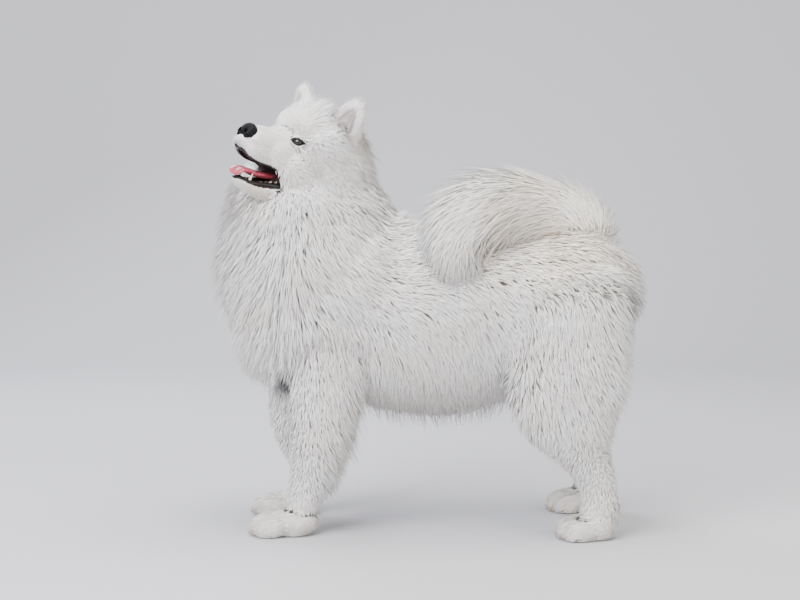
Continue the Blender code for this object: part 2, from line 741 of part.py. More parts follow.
def coat_rows(body_tree, tail_tree):
    """Rows of locks round the body's curves: where the row goes round, how many it has, and how they lie."""
    rows = []
    nape = HEAD_PLACE @ Vector(HEAD_CUT)
    nape_way = (HEAD_PLACE.to_3x3() @ Vector(HEAD_CUT_NORMAL)).normalized()
    for share, count in RUFF_ROWS:
        way = nape_way.lerp(RUFF_END_WAY, share).normalized()
        ring = ring_across(nape.lerp(RUFF_END, share), way, RUFF_REACH)
        rows.append(Row(ring, count, 0, 360, way.lerp(DOWN, 0.5), RUFF_LOCK, body_tree))
    for side, _ in SIDES:
        for share in FEATHER_ROWS:
            ring = ring_at(foreleg_stations(side), share)
            rows.append(Row(ring, 2, 55, 125, FEATHER_LOCK.hang, FEATHER_LOCK, body_tree))
        first, last = BREECHES_SPAN if side > 0 else (180 - BREECHES_SPAN[1], 180 - BREECHES_SPAN[0])
        for share in BREECHES_ROWS:
            ring = ring_at(hindleg_stations(side), share)
            rows.append(Row(ring, 4, first, last, BREECHES_LIE, BREECHES_LOCK, body_tree))
    for share in FLANK_ROWS:
        rows.append(Row(ring_at(trunk_stations(), share), 8, -30, 210, FLANK_LIE, FLANK_LOCK, body_tree))
    for share in FRINGE_ROWS:
        ring = ring_at(trunk_stations(), share)
        rows.append(Row(ring, 4, 220, 320, FRINGE_LOCK.hang, FRINGE_LOCK, body_tree))
    for height in RUMP_HEIGHTS:
        ring = ring_across(Vector((0, RUMP_CENTRE_Y, height)), DOWN, RUMP_REACH)
        rows.append(Row(ring, 4, 20, 160, RUMP_LIE, RUMP_LOCK, body_tree))
    for share in PLUME_ROWS:
        rows.append(Row(ring_at(tail_stations(), share), 4, 165, 395, None, PLUME_LOCK, tail_tree))
    return rows


def ring_at(stations, share):
    """The section of a curve at a share of its length."""
    rings = rings_along(stations, 4)
    return rings[round(share * (len(rings) - 1))]


def ring_across(centre, ahead, size):
    """A ring about a centre, in the plane across a direction, that starts on the dog's left."""
    across = (Vector((1, 0, 0)) - ahead * ahead.x).normalized()
    return centre, across, ahead.cross(across), ahead, (size, size)


def rooted_locks(rows):
    """Each lock of the rows with its root on the surface, found along a ray from the row's centre outwards."""
    draw = random.Random(SEED)
    found = []
    for row in rows:
        centre, across, depth, ahead, size = row.ring
        turn_between = (row.last - row.first) / row.count
        for k in range(row.count):
            angle = math.radians(row.first + turn_between * (k + 0.5 + draw.uniform(-0.15, 0.15)))
            ray = across * math.cos(angle) - depth * math.sin(angle)
            bend = Vector([draw.uniform(-0.12, 0.12) for _ in range(3)])
            lock = row.lock._replace(length=row.lock.length * draw.uniform(0.88, 1.12),
                                     width=row.lock.width * draw.uniform(0.9, 1.1))
            root, up, _, distance = row.tree.ray_cast(centre, ray)
            if root is None or distance > RAY_REACH * max(size):
                continue
            lie = row.lie or ahead + DOWN * PLUME_DROOP
            found.append((lock, root, up, lie + bend))
    return found


def add_locks(nodes, found, surface):
    """Roots each lock in the node that it grows from, clear of every other node and of the locks on those."""
    cores = {name: tree_of(node) for name, node in nodes.items()}
    grown = {name: [] for name in nodes}
    fat = {name: [] for name in nodes}
    for lock, root, up, lie in found:
        name = min(cores, key=lambda key: cores[key].find_nearest(root)[3])
        if cores[name].find_nearest(root)[3] > ON_NODE:
            continue
        others = [tree for key, tree in cores.items() if key != name]
        others += [tree for key, trees in fat.items() if key != name for tree in trees]
        for shift, lift, shrink in LOCK_TRIES:
            along = (lie - up * lie.dot(up)).normalized()
            spot, spot_up, _, _ = cores[name].find_nearest(root + along * shift)
            tried = lock._replace(rise=lock.rise + lift, length=lock.length * shrink, width=lock.width * shrink)
            places, ups = lock_path(tried, spot, spot_up, lie, surface)
            if not bends_gently(places, ups):
                continue
            slim, wide = lock_body(tried, places, ups), lock_body(tried, places, ups, CLEARANCE)
            shape = tree_of(wide)
            bpy.data.objects.remove(wide)
            if is_sound(slim) and not any(shape.overlap(other) for other in others):
                grown[name].append(slim)
                fat[name].append(shape)
                break
            bpy.data.objects.remove(slim)
    for name, bodies in grown.items():
        if bodies:
            fused(nodes[name], bodies)


def fused(obj, pieces):
    """The object with closed pieces joined to it by one union."""
    group = bpy.data.collections.new("pieces")
    for piece in pieces:
        group.objects.link(piece)
    whole = obj.data.copy()
    for solver in ("EXACT", "MANIFOLD"):
        boolean = obj.modifiers.new("Fuse", "BOOLEAN")
        boolean.operation = "UNION"
        boolean.operand_type = "COLLECTION"
        boolean.collection = group
        boolean.solver = solver
        applied(obj)
        if is_closed(obj.data) and enclosed(obj.data) > enclosed(whole):
            break
        obj.data = whole.copy()
    for piece in pieces:
        bpy.data.objects.remove(piece)
    bpy.data.collections.remove(group)
    return largest_surface(obj)


def centre_over_origin(objects):
    """Moves the whole dog sideways so that its box is centred over the origin."""
    corners = np.array([vert.co for obj in objects for vert in obj.data.vertices])
    middle = (corners.min(axis=0) + corners.max(axis=0)) / 2
    for obj in objects:
        obj.data.transform(Matrix.Translation((-middle[0], -middle[1], 0)))


def main():
    clear_scene()
    body = make_body()
    body_tree = tree_of(body)
    nape = HEAD_PLACE @ Vector(HEAD_CUT), HEAD_PLACE.to_3x3() @ Vector(HEAD_CUT_NORMAL)
    combined(body, half_space("nape", nape[0], -nape[1], GAP), "DIFFERENCE")
    nodes = part_body(body)
    nodes.update(make_head())
    tail = seat_against(tube("tail", tail_stations(), sides=16), nodes["torso"])
    tail_tree = tree_of(tail)
    nodes["tail_tip"] = split_off(
        tail, "tail_tip", lambda grow: half_space("cutter", TAIL_CUT, TAIL_CUT_NORMAL, grow))
    nodes["tail_base"] = tail

    surface = joined("surface", [copied(node, "surface") for node in nodes.values()])
    everything = tree_of(surface)
    bpy.data.objects.remove(surface)
    add_locks(nodes, rooted_locks(coat_rows(body_tree, tail_tree)), everything)
    centre_over_origin(nodes.values())

    coat = material("white_coat", (0.85, 0.83, 0.79), 0.8)
    leather = material("black_leather", (0.02, 0.02, 0.022), 0.35)
    finishes = {
        "nose": leather,
        "tongue": material("pink_tongue", (0.72, 0.25, 0.27), 0.35),
        "eye_left": material("dark_eye", (0.03, 0.015, 0.01), 0.1),
    }
    finishes["eye_right"] = finishes["eye_left"]
    for name, obj in nodes.items():
        finished(obj, name, finishes.get(name, coat))


if __name__ == "__main__":
    main()
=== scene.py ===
"""A still Samoyed that stands with its head raised, its mouth open and its tail over its back.

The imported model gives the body's solids. This script puts one skin over them, then the coat in solid tufts,
the eyes with their lids, nose, lips, tongue, teeth, claws, pads and whiskers, each as a piece of its own.
"""

import math
from typing import NamedTuple

import bmesh
import bpy
import numpy as np
from mathutils import Euler, Matrix, Vector
from mathutils.bvhtree import BVHTree
from mathutils.kdtree import KDTree


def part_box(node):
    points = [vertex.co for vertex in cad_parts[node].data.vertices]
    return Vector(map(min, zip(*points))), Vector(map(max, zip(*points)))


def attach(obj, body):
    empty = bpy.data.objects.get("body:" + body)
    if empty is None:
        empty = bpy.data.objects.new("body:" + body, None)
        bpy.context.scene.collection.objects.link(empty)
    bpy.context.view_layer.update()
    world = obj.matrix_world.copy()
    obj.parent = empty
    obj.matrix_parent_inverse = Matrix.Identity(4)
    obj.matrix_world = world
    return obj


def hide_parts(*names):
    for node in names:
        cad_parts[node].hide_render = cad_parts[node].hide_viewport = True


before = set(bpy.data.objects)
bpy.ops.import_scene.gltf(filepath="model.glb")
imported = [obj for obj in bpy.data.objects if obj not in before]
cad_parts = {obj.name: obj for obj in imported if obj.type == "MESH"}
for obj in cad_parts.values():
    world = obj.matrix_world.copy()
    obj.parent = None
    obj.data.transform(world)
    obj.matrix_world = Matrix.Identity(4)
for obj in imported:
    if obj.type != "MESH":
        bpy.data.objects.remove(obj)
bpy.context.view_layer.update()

bl_info = {
    "name": "Still Samoyed",
    "version": (1, 0, 0),
    "blender": (4, 5, 0),
    "location": "3D View > Sidebar > Samoyed",
    "description": "Dresses the packed model of a standing Samoyed in skin, coat and face",
    "category": "Add Mesh",
}

SIDES = (("left", 1), ("right", -1))
SEED = 23

# The body's sections, in metres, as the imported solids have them
FORE_STANCE_X, HIND_STANCE_X = 0.085, 0.115
FAR_ELBOW_LEAD, FAR_PAW_LEAD, FAR_HOCK_BACK = 0.054, 0.008, 0.016
FORE_PAW_Y, HIND_PAW_Y = -0.202, 0.341
FORE_PAW_HALF, HIND_PAW_HALF = 0.062, 0.052
TOE_SPREAD = (-0.030, -0.011, 0.011, 0.030)
TOE_LEAD = (0.000, 0.013, 0.013, 0.000)
TRUNK = (  # y, top, bottom, half width, coat
    (-0.245, 0.520, 0.330, 0.105, 0.050),
    (-0.160, 0.575, 0.255, 0.150, 0.050),
    (-0.060, 0.575, 0.225, 0.163, 0.048),
    (0.050, 0.570, 0.205, 0.163, 0.048),
    (0.160, 0.565, 0.225, 0.155, 0.048),
    (0.270, 0.570, 0.270, 0.155, 0.050),
    (0.350, 0.565, 0.300, 0.140, 0.055),
    (0.380, 0.530, 0.340, 0.105, 0.060),
)
NECK = (  # x, y, z, half width, half depth, coat
    (0.000, -0.145, 0.370, 0.165, 0.175, 0.06),
    (0.000, -0.158, 0.460, 0.180, 0.184, 0.07),
    (0.002, -0.162, 0.540, 0.172, 0.182, 0.07),
    (0.008, -0.165, 0.605, 0.142, 0.158, 0.05),
    (0.018, -0.152, 0.660, 0.104, 0.120, 0.04),
    (0.032, -0.152, 0.705, 0.090, 0.100, 0.03),
)
TAIL = (  # from its root to its tip, as the neck's rows
    (0.000, 0.330, 0.480, 0.050, 0.052, 0.04),
    (0.002, 0.338, 0.532, 0.066, 0.068, 0.05),
    (0.012, 0.305, 0.566, 0.078, 0.078, 0.07),
    (0.030, 0.232, 0.585, 0.082, 0.084, 0.08),
    (0.055, 0.155, 0.586, 0.082, 0.088, 0.08),
    (0.080, 0.102, 0.556, 0.074, 0.080, 0.08),
    (0.100, 0.098, 0.505, 0.050, 0.055, 0.07),
)


def trunk_rows():
    """The trunk's sections as x, y, z, half width, half depth and coat."""
    return [(0, y, (top + low) / 2, half, (top - low) / 2, coat) for y, top, low, half, coat in TRUNK]


def foreleg_rows(side):
    """The sections of one foreleg from its shoulder to its wrist."""
    x, elbow, paw = side * FORE_STANCE_X, 0.0, 0.0
    if side < 0:
        elbow, paw = -FAR_ELBOW_LEAD, -FAR_PAW_LEAD
    return (
        (x + side * 0.010, -0.120 + elbow, 0.360, 0.062, 0.090, 0.03),
        (x + side * 0.004, -0.140 + elbow, 0.250, 0.050, 0.062, 0.025),
        (x, -0.152 + 0.8 * elbow, 0.170, 0.042, 0.052, 0.02),
        (x, -0.166 + paw, 0.095, 0.034, 0.038, 0.012),
        (x, -0.176 + paw, 0.055, 0.034, 0.036, 0.008),
    )


def hindleg_rows(side):
    """The sections of one hind leg from its hip to its foot."""
    x, hock = side * HIND_STANCE_X, FAR_HOCK_BACK if side < 0 else 0.0
    return (
        (x - side * 0.020, 0.300, 0.430, 0.075, 0.125, 0.04),
        (x - side * 0.008, 0.302, 0.320, 0.072, 0.125, 0.05),
        (x - side * 0.002, 0.298, 0.240, 0.060, 0.108, 0.04),
        (x, 0.322 + hock, 0.172, 0.046, 0.062, 0.03),
        (x, 0.348 + hock, 0.118, 0.036, 0.041, 0.012),
        (x, 0.358 + hock, 0.075, 0.034, 0.038, 0.012),
        (x, 0.356 + 0.5 * hock, 0.045, 0.034, 0.040, 0.008),
    )


def paw_places():
    """Name, side, middle and half length of each paw."""
    for word, side in SIDES:
        lead = FAR_PAW_LEAD if side < 0 else 0.0
        yield f"forepaw_{word}", side, side * FORE_STANCE_X, FORE_PAW_Y - lead, FORE_PAW_HALF
        yield f"hindpaw_{word}", side, side * HIND_STANCE_X, HIND_PAW_Y, HIND_PAW_HALF


# The head, in its own directions: x to its left, y back from the nose tip, z up
def turn(degrees, axis):
    """A turn about one axis."""
    return Matrix.Rotation(math.radians(degrees), 4, axis)


HEAD_TURN = turn(-29, "X") @ turn(38, "Z") @ turn(-9, "Y")
NOSE_TIP = Vector((0.122, -0.281, 0.7305))
HEAD_PLACE = Matrix.Translation(NOSE_TIP) @ HEAD_TURN
HEAD_LENGTH = 0.23
EYE_RADIUS = 0.0115
SOLID_EYE_PLACE = (0.0330, 0.098, 0.026)
EYE_PLACE = (0.0369, 0.1015, 0.0247)
EYE_OUTWARD = 42  # degrees that the gaze turns out from the muzzle
EYE_HALF_WIDTH, EYE_UPPER, EYE_LOWER = 0.0112, 0.0050, 0.0042
LID_THICKNESS = 0.0020
EAR_PLACE = (0.055, 0.161, 0.066)
EAR_BACK = 0.004  # the left ear is laid back by this and the right one pricked by it
NOSE_PLACE = HEAD_PLACE @ Matrix.Translation((0, 0.0055, 0.0)) @ Matrix.Diagonal((1.04, 1.08, 1.12, 1))
MUZZLE = (  # x, y, z, half width, half depth, fur
    (0, 0.0095, -0.0185, 0.0180, 0.0110, 0.0005),
    (0, 0.022, -0.0125, 0.0240, 0.0195, 0.0008),
    (0, 0.040, -0.0050, 0.0290, 0.0285, 0.0012),
    (0, 0.066, -0.0035, 0.0345, 0.0340, 0.002),
    (0, 0.100, 0.0035, 0.0430, 0.0430, 0.003),
    (0, 0.130, 0.0110, 0.0550, 0.0520, 0.006),
)
JAW = (
    (0, 0.036, -0.078, 0.017, 0.010, 0.002),
    (0, 0.050, -0.081, 0.023, 0.013, 0.003),
    (0, 0.080, -0.077, 0.031, 0.020, 0.004),
    (0, 0.112, -0.066, 0.040, 0.030, 0.006),
    (0, 0.140, -0.050, 0.046, 0.040, 0.009),
)
SKULL_FORMS = (  # middle, half sizes, fur
    ((0, 0.152, 0.036), (0.071, 0.074, 0.067), 0.008),
    ((0, 0.190, -0.010), (0.078, 0.060, 0.078), 0.014),
    ((0.034, 0.150, -0.022), (0.045, 0.070, 0.054), 0.010),
    ((-0.034, 0.150, -0.022), (0.045, 0.070, 0.054), 0.010),
    ((0.024, 0.100, -0.010), (0.026, 0.046, 0.034), 0.004),
    ((-0.024, 0.100, -0.010), (0.026, 0.046, 0.034), 0.004),
    ((0.024, 0.118, 0.052), (0.032, 0.032, 0.028), 0.005),
    ((-0.024, 0.118, 0.052), (0.032, 0.032, 0.028), 0.005),
    ((0.020, 0.058, -0.024), (0.014, 0.046, 0.0150), 0.002),
    ((-0.020, 0.058, -0.024), (0.014, 0.046, 0.0150), 0.002),
)
PINNA = (  # the ear's own x, y, z, half width, half depth
    (0, 0.010, -0.026, 0.034, 0.019),
    (0, 0.005, 0.000, 0.035, 0.017),
    (0, 0.001, 0.028, 0.032, 0.014),
    (0, -0.002, 0.052, 0.024, 0.011),
    (0, -0.003, 0.065, 0.013, 0.008),
)
EAR_CUP = (  # the hollow that is cut from the ear
    (0, -0.006, -0.010, 0.014, 0.010),
    (0, -0.010, 0.012, 0.020, 0.014),
    (0, -0.012, 0.034, 0.016, 0.012),
    (0, -0.013, 0.052, 0.008, 0.008),
)
# The plane where the head's finer skin meets the body's
NAPE = HEAD_PLACE @ Vector((0, 0.166, -0.030))
NAPE_WAY = (HEAD_PLACE.to_3x3() @ Vector((0, 0.86, -0.51))).normalized()
LIP_LINE = (  # from the middle of the upper lip to the corner and back to the middle of the lower lip
    (0.000, 0.006, -0.027),
    (0.009, 0.014, -0.031),
    (0.018, 0.034, -0.037),
    (0.025, 0.056, -0.041),
    (0.031, 0.080, -0.039),
    (0.036, 0.098, -0.035),
    (0.039, 0.108, -0.043),
    (0.037, 0.109, -0.055),
    (0.031, 0.098, -0.062),
    (0.026, 0.078, -0.065),
    (0.020, 0.054, -0.073),
    (0.013, 0.038, -0.075),
    (0.000, 0.030, -0.076),
)


def ear_place(side):
    """The ear's own directions: x across it, z to its tip, and -y out of its cup."""
    x, y, z = EAR_PLACE
    return (HEAD_PLACE @ Matrix.Translation((side * x, y + side * EAR_BACK, z))
            @ turn(side * 22, "Y") @ turn(4, "X") @ turn(side * 20, "Z"))


def eye_place(side):
    """The eye's own directions: x towards the outer corner, z up, and -y along its gaze."""
    x, y, z = EYE_PLACE
    return (HEAD_PLACE @ Matrix.Translation((side * x, y, z)) @ turn(side * EYE_OUTWARD, "Z")
            @ turn(8, "X"))


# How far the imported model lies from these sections
eye_low, eye_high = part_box("eye_left")
SHIFT = (eye_low + eye_high) / 2 - HEAD_PLACE @ Vector(SOLID_EYE_PLACE)
TO_ROW = Matrix.Translation(SHIFT)


# Colours and nodes
def linear(hex_colour):
    """An sRGB hex colour as linear red, green and blue."""
    parts = [int(hex_colour[k:k + 2], 16) / 255 for k in (1, 3, 5)]
    return [c / 12.92 if c <= 0.04045 else ((c + 0.055) / 1.055) ** 2.4 for c in parts]


def add_node(tree, kind, inputs=None, **settings):
    """One node with its settings. An input has a value or is linked to a socket or a node's first output."""
    node = tree.nodes.new(kind)
    for name, value in settings.items():
        setattr(node, name, value)
    for key, value in (inputs or {}).items():
        if isinstance(value, bpy.types.Node):
            value = value.outputs[0]
        if isinstance(value, bpy.types.NodeSocket):
            tree.links.new(value, node.inputs[key])
        else:
            node.inputs[key].default_value = value
    return node


def rgba(colour):
    """A colour with full cover."""
    return (*tuple(colour)[:3], 1.0)


def started(name):
    """A new material and its emptied tree."""
    material = bpy.data.materials.new(name)
    material.use_nodes = True
    material.node_tree.nodes.clear()
    return material, material.node_tree


def layered(tree, colour, layers):
    """A colour with others laid over it, each by its own share."""
    for share, over in layers:
        low, high = (c if isinstance(c, bpy.types.NodeSocket) else rgba(c) for c in (colour, over))
        colour = add_node(tree, "ShaderNodeMix", {0: share, 6: low, 7: high}, data_type="RGBA").outputs[2]
    return colour


def shaded(tree, values):
    """Ends a material in one surface with these values."""
    surface = add_node(tree, "ShaderNodeBsdfPrincipled", values)
    add_node(tree, "ShaderNodeOutputMaterial", {"Surface": surface})


HAIRS_IN_UV = (5000.0, 300.0, 1.0)  # hairs across and along the whole unwrap


def coat_colours(tree, colours):
    """The coat's white with its cream, stained, grey and bare places. The skin and the tufts share it."""
    at = add_node(tree, "ShaderNodeTexCoord").outputs["Object"]
    cloud = add_node(tree, "ShaderNodeTexNoise", {"Vector": at, "Scale": 14.0, "Detail": 3.0})
    uneven = add_node(tree, "ShaderNodeMapRange", {0: cloud, 1: 0.35, 2: 0.70, 3: 0.0, 4: 0.35})
    cream, stain, grey, bare = (add_node(tree, "ShaderNodeAttribute", attribute_name=name).outputs["Fac"]
                                for name in ("cream", "stain", "grey", "bare"))
    creamy = add_node(tree, "ShaderNodeMath", {0: cream, 1: uneven}, operation="ADD", use_clamp=True)
    return layered(tree, colours.coat_white, (
        (creamy, colours.coat_cream), (stain, colours.coat_stain), (grey, colours.coat_grey_and_painted_shade),
        (bare, colours.ear_skin)))


def coat_material(colours):
    """Guard hair: bright white with a soft sheen, darker and warmer at its root as painted shade, with fine
    hairs along each tuft.

    A hair is drawn about 0.2 mm wide, since a real one of 0.08 mm would not show.
    """
    material, tree = started("guard_hair")
    tip, shade = (add_node(tree, "ShaderNodeAttribute", attribute_name=name).outputs["Fac"]
                  for name in ("tip", "shade"))
    # painted shade: each tuft takes on the darker root colour towards its root, as shade deep in the coat
    depth = add_node(tree, "ShaderNodeMapRange", {0: tip, 1: 0.0, 2: 0.7, 3: 0.10, 4: 0.0})
    patch = add_node(tree, "ShaderNodeUVMap", uv_map="OFBake")
    along = add_node(tree, "ShaderNodeVectorMath", {0: patch, 1: HAIRS_IN_UV}, operation="MULTIPLY")
    hairs = add_node(tree, "ShaderNodeTexNoise", {"Vector": along, "Scale": 1.0, "Detail": 1.0})
    streak = add_node(tree, "ShaderNodeMapRange", {0: hairs, 1: 0.35, 2: 0.65, 3: 0.10, 4: 0.0})
    # shade holds each tuft's random tone together with the painted shade on the belly and low flanks
    colour = layered(tree, coat_colours(tree, colours), (
        (depth, colours.coat_root_shade_and_streak), (shade, colours.coat_grey_and_painted_shade), (streak, colours.coat_root_shade_and_streak)))
    bump = add_node(tree, "ShaderNodeBump", {"Strength": 0.3, "Distance": 0.0004, "Height": hairs})
    shaded(tree, {"Base Color": colour, "Roughness": 0.62, "IOR": 1.55, "Specular IOR Level": 0.35,
                  "Sheen Weight": 0.30, "Sheen Roughness": 0.5, "Normal": bump})
    return material


def skin_material(colours):
    """Skin under the coat, with hair of about 0.7 mm as its relief, and the mouth's lining, darkened with
    painted shade.
    """
    material, tree = started("short_coat_skin")
    mouth = add_node(tree, "ShaderNodeAttribute", attribute_name="mouth").outputs["Fac"]
    # painted shade: inside the mouth the skin takes the lining's near-black colour
    colour = layered(tree, coat_colours(tree, colours), ((mouth, colours.mouth_lining_and_shade),))
    at = add_node(tree, "ShaderNodeTexCoord").outputs["Object"]
    fine = add_node(tree, "ShaderNodeTexNoise", {"Vector": at, "Scale": 1400.0, "Detail": 3.0})
    coarse = add_node(tree, "ShaderNodeTexNoise", {"Vector": at, "Scale": 260.0, "Detail": 2.0})
    height = add_node(tree, "ShaderNodeMath", {0: fine, 1: coarse}, operation="ADD")
    bump = add_node(tree, "ShaderNodeBump", {"Strength": 0.5, "Distance": 0.0008, "Height": height})
    shaded(tree, {"Base Color": colour, "Roughness": 0.7, "IOR": 1.45, "Normal": bump})
    return material


def leather_material(name, colour, cell, relief, roughness, gloss):
    """Moist bare skin. Its relief is small rounded cells, each as wide as cell in metres."""
    material, tree = started(name)
    at = add_node(tree, "ShaderNodeTexCoord").outputs["Object"]
    cells = add_node(tree, "ShaderNodeTexVoronoi", {"Vector": at, "Scale": 1 / cell, "Randomness": 0.8})
    patchy = add_node(tree, "ShaderNodeTexNoise", {"Vector": at, "Scale": 0.25 / cell, "Detail": 3.0})
    share = add_node(tree, "ShaderNodeMapRange", {0: patchy, 1: 0.35, 2: 0.75, 3: 0.0, 4: 0.25})
    rough = add_node(tree, "ShaderNodeMapRange", {
        0: patchy, 1: 0.3, 2: 0.7, 3: roughness, 4: roughness + 0.18})
    lighter = [min(1, c * 1.9 + 0.003) for c in tuple(colour)[:3]]
    bump = add_node(tree, "ShaderNodeBump", {"Strength": 0.7, "Distance": relief, "Height": cells},
                    invert=True)
    shaded(tree, {"Base Color": layered(tree, colour, ((share, lighter),)), "Roughness": rough, "IOR": 1.42,
                  "Specular IOR Level": 0.15, "Coat Weight": gloss, "Coat Roughness": 0.25, "Normal": bump})
    return material


def tongue_material(colours):
    """Tongue: pink and moist with paler mottling, darker towards the root inside the mouth as painted shade,
    with papillae about 1 mm across.
    """
    material, tree = started("moist_tongue")
    at = add_node(tree, "ShaderNodeTexCoord").outputs["Object"]
    root = add_node(tree, "ShaderNodeAttribute", attribute_name="root").outputs["Fac"]
    mottled = add_node(tree, "ShaderNodeTexNoise", {"Vector": at, "Scale": 220.0, "Detail": 3.0})
    pale = add_node(tree, "ShaderNodeMapRange", {0: mottled, 1: 0.45, 2: 0.75, 3: 0.0, 4: 0.5})
    # painted shade: the tongue darkens where it goes back inside the mouth
    colour = layered(tree, colours.tongue, ((root, colours.tongue_root_in_shade), (pale, colours.tongue_pale)))
    cells = add_node(tree, "ShaderNodeTexVoronoi", {"Vector": at, "Scale": 1000.0})
    bump = add_node(tree, "ShaderNodeBump", {"Strength": 0.5, "Distance": 0.0004, "Height": cells},
                    invert=True)
    shaded(tree, {"Base Color": colour, "Roughness": 0.42, "IOR": 1.38, "Coat Weight": 0.35,
                  "Coat Roughness": 0.18, "Subsurface Weight": 0.15, "Subsurface Scale": 0.003,
                  "Normal": bump})
    return material


def eye_material(colours):
    """Eye: a clear wet cornea over a dark brown iris with fine rays, a black pupil and a dark edge."""
    material, tree = started("wet_eye")
    at = add_node(tree, "ShaderNodeTexCoord").outputs["Object"]
    gaze = add_node(tree, "ShaderNodeAttribute", attribute_name="gaze").outputs["Fac"]
    rays = add_node(tree, "ShaderNodeTexNoise", {"Vector": at, "Scale": 1500.0, "Detail": 2.0})
    pupil = add_node(tree, "ShaderNodeMapRange", {0: gaze, 1: 0.095, 2: 0.125, 3: 1.0, 4: 0.0})
    edge = add_node(tree, "ShaderNodeMapRange", {0: gaze, 1: 0.27, 2: 0.33, 3: 0.0, 4: 1.0})
    white = add_node(tree, "ShaderNodeMapRange", {0: gaze, 1: 0.36, 2: 0.42, 3: 0.0, 4: 1.0})
    darker = [c * 0.35 for c in tuple(colours.iris)[:3]]
    colour = layered(tree, colours.iris, (
        (rays, darker), (pupil, linear("#050404")), (edge, linear("#120B08")), (white, linear("#7A6458"))))
    shaded(tree, {"Base Color": colour, "Roughness": 0.06, "IOR": 1.38, "Coat Weight": 1.0,
                  "Coat Roughness": 0.02})
    return material


def hard_material(name, colour, second, roughness, along):
    """Horn or ivory: two close tones in fine streaks, with a smooth and slightly waxy gloss."""
    material, tree = started(name)
    at = add_node(tree, "ShaderNodeTexCoord").outputs["Object"]
    moved = add_node(tree, "ShaderNodeMapping", {"Vector": at, "Scale": along})
    streaks = add_node(tree, "ShaderNodeTexNoise", {"Vector": moved, "Scale": 300.0, "Detail": 3.0})
    bump = add_node(tree, "ShaderNodeBump", {"Strength": 0.2, "Distance": 0.0002, "Height": streaks})
    shaded(tree, {"Base Color": layered(tree, colour, ((streaks, second),)), "Roughness": roughness,
                  "IOR": 1.54, "Coat Weight": 0.2, "Coat Roughness": 0.25, "Normal": bump})
    return material


def floor_material(colour):
    """Matt painted floor: pale, even, with a very fine roller texture about 2 mm across."""
    material, tree = started("matt_pale_paint")
    at = add_node(tree, "ShaderNodeTexCoord").outputs["Object"]
    grain = add_node(tree, "ShaderNodeTexNoise", {"Vector": at, "Scale": 500.0, "Detail": 2.0})
    darker = [c * 0.97 for c in tuple(colour)[:3]]
    bump = add_node(tree, "ShaderNodeBump", {"Strength": 0.1, "Distance": 0.0005, "Height": grain})
    shaded(tree, {"Base Color": layered(tree, colour, ((grain, darker),)), "Roughness": 0.85,
                  "Specular IOR Level": 0.2, "Normal": bump})
    return material


# Shapes
def unit(vectors):
    """Vectors at length 1."""
    return vectors / np.maximum(np.linalg.norm(vectors, axis=-1, keepdims=True), 1e-12)


def carried(matrix, points):
    """Points as a matrix moves them."""
    m = np.array(matrix)
    return np.asarray(points, float) @ m[:3, :3].T + m[:3, 3]


def aimed(matrix, vectors):
    """Directions as a matrix turns them."""
    return np.asarray(vectors, float) @ np.array(matrix)[:3, :3].T


def ramp(values, low, high):
    """From 0 at low to 1 at high, with soft ends."""
    t = np.clip((values - low) / (high - low), 0, 1)
    return t * t * (3 - 2 * t)


def smooth_rows(rows, steps=4):
    """A smooth curve through rows of numbers, with that many steps from one row to the next."""
    rows = np.array(rows, float)
    ends = np.vstack([2 * rows[0] - rows[1], rows, 2 * rows[-1] - rows[-2]])
    t = np.linspace(0, 1, steps, endpoint=False)[:, None]
    spans = []
    for a, b, c, d in zip(ends, ends[1:], ends[2:], ends[3:]):
        square, cube = 2 * a - 5 * b + 4 * c - d, 3 * b - a - 3 * c + d
        spans.append(0.5 * (2 * b + (c - a) * t + square * t ** 2 + cube * t ** 3))
    return np.vstack(spans + [rows[-1:]])


def frames_along(centres):
    """Directions ahead, across and in depth at each point of a curve."""
    ahead = unit(np.gradient(centres, axis=0))
    across = unit(np.array([1.0, 0, 0]) - ahead * ahead[:, :1])
    return ahead, across, np.cross(ahead, across)


END_TURNS = (75, 50, 25)  # degrees round the end at each of its rings


def tube(rows, sides=24, share=0.0, least=0.004, end_reach=0.6):
    """Points and faces of a closed oval tube with round ends.

    A sixth number in a row is a depth, and the tube stays inside by a share of it.
    """
    rows = smooth_rows(rows)
    centres, sizes = rows[:, :3], rows[:, 3:5].copy()
    if rows.shape[1] > 5:
        sizes = np.maximum(sizes - share * rows[:, 5:6], least)
    ahead, across, depth = frames_along(centres)

    def ended(k, sign):
        reach = sizes[k].min() * end_reach
        return [(centres[k] + sign * ahead[k] * reach * math.sin(a), across[k], depth[k],
                 sizes[k] * math.cos(a)) for a in np.radians(END_TURNS)]

    rings = ended(0, -1) + list(zip(centres, across, depth, sizes)) + ended(-1, 1)[::-1]
    angles = np.linspace(0, 2 * math.pi, sides, endpoint=False)[:, None]
    points = np.vstack([c + a * (s[0] * np.cos(angles)) + d * (s[1] * np.sin(angles))
                        for c, a, d, s in rings])
    return points, tube_faces(len(rings), sides)


def tube_faces(rings, sides):
    """Faces of a tube with flat ends."""
    faces = []
    for r in range(rings - 1):
        for k in range(sides):
            j = (k + 1) % sides
            faces.append((r * sides + k, r * sides + j, (r + 1) * sides + j, (r + 1) * sides + k))
    faces.append(tuple(range(sides))[::-1])
    faces.append(tuple(range((rings - 1) * sides, rings * sides)))
    return faces


def loop_faces(rings, sides):
    """Faces of a tube whose last ring meets its first."""
    return [(r * sides + k, r * sides + (k + 1) % sides, ((r + 1) % rings) * sides + (k + 1) % sides,
             ((r + 1) % rings) * sides + k) for r in range(rings) for k in range(sides)]


def ball_faces(rings, sides):
    """Faces of a ball whose first and last points are its poles."""
    faces, last = [], (rings - 1) * sides + 1
    for k in range(sides):
        j = (k + 1) % sides
        faces.append((0, 1 + j, 1 + k))
        faces.append((last, last - sides + k, last - sides + j))
        for r in range(rings - 2):
            low, high = 1 + r * sides, 1 + (r + 1) * sides
            faces.append((low + k, low + j, high + j, high + k))
    return faces


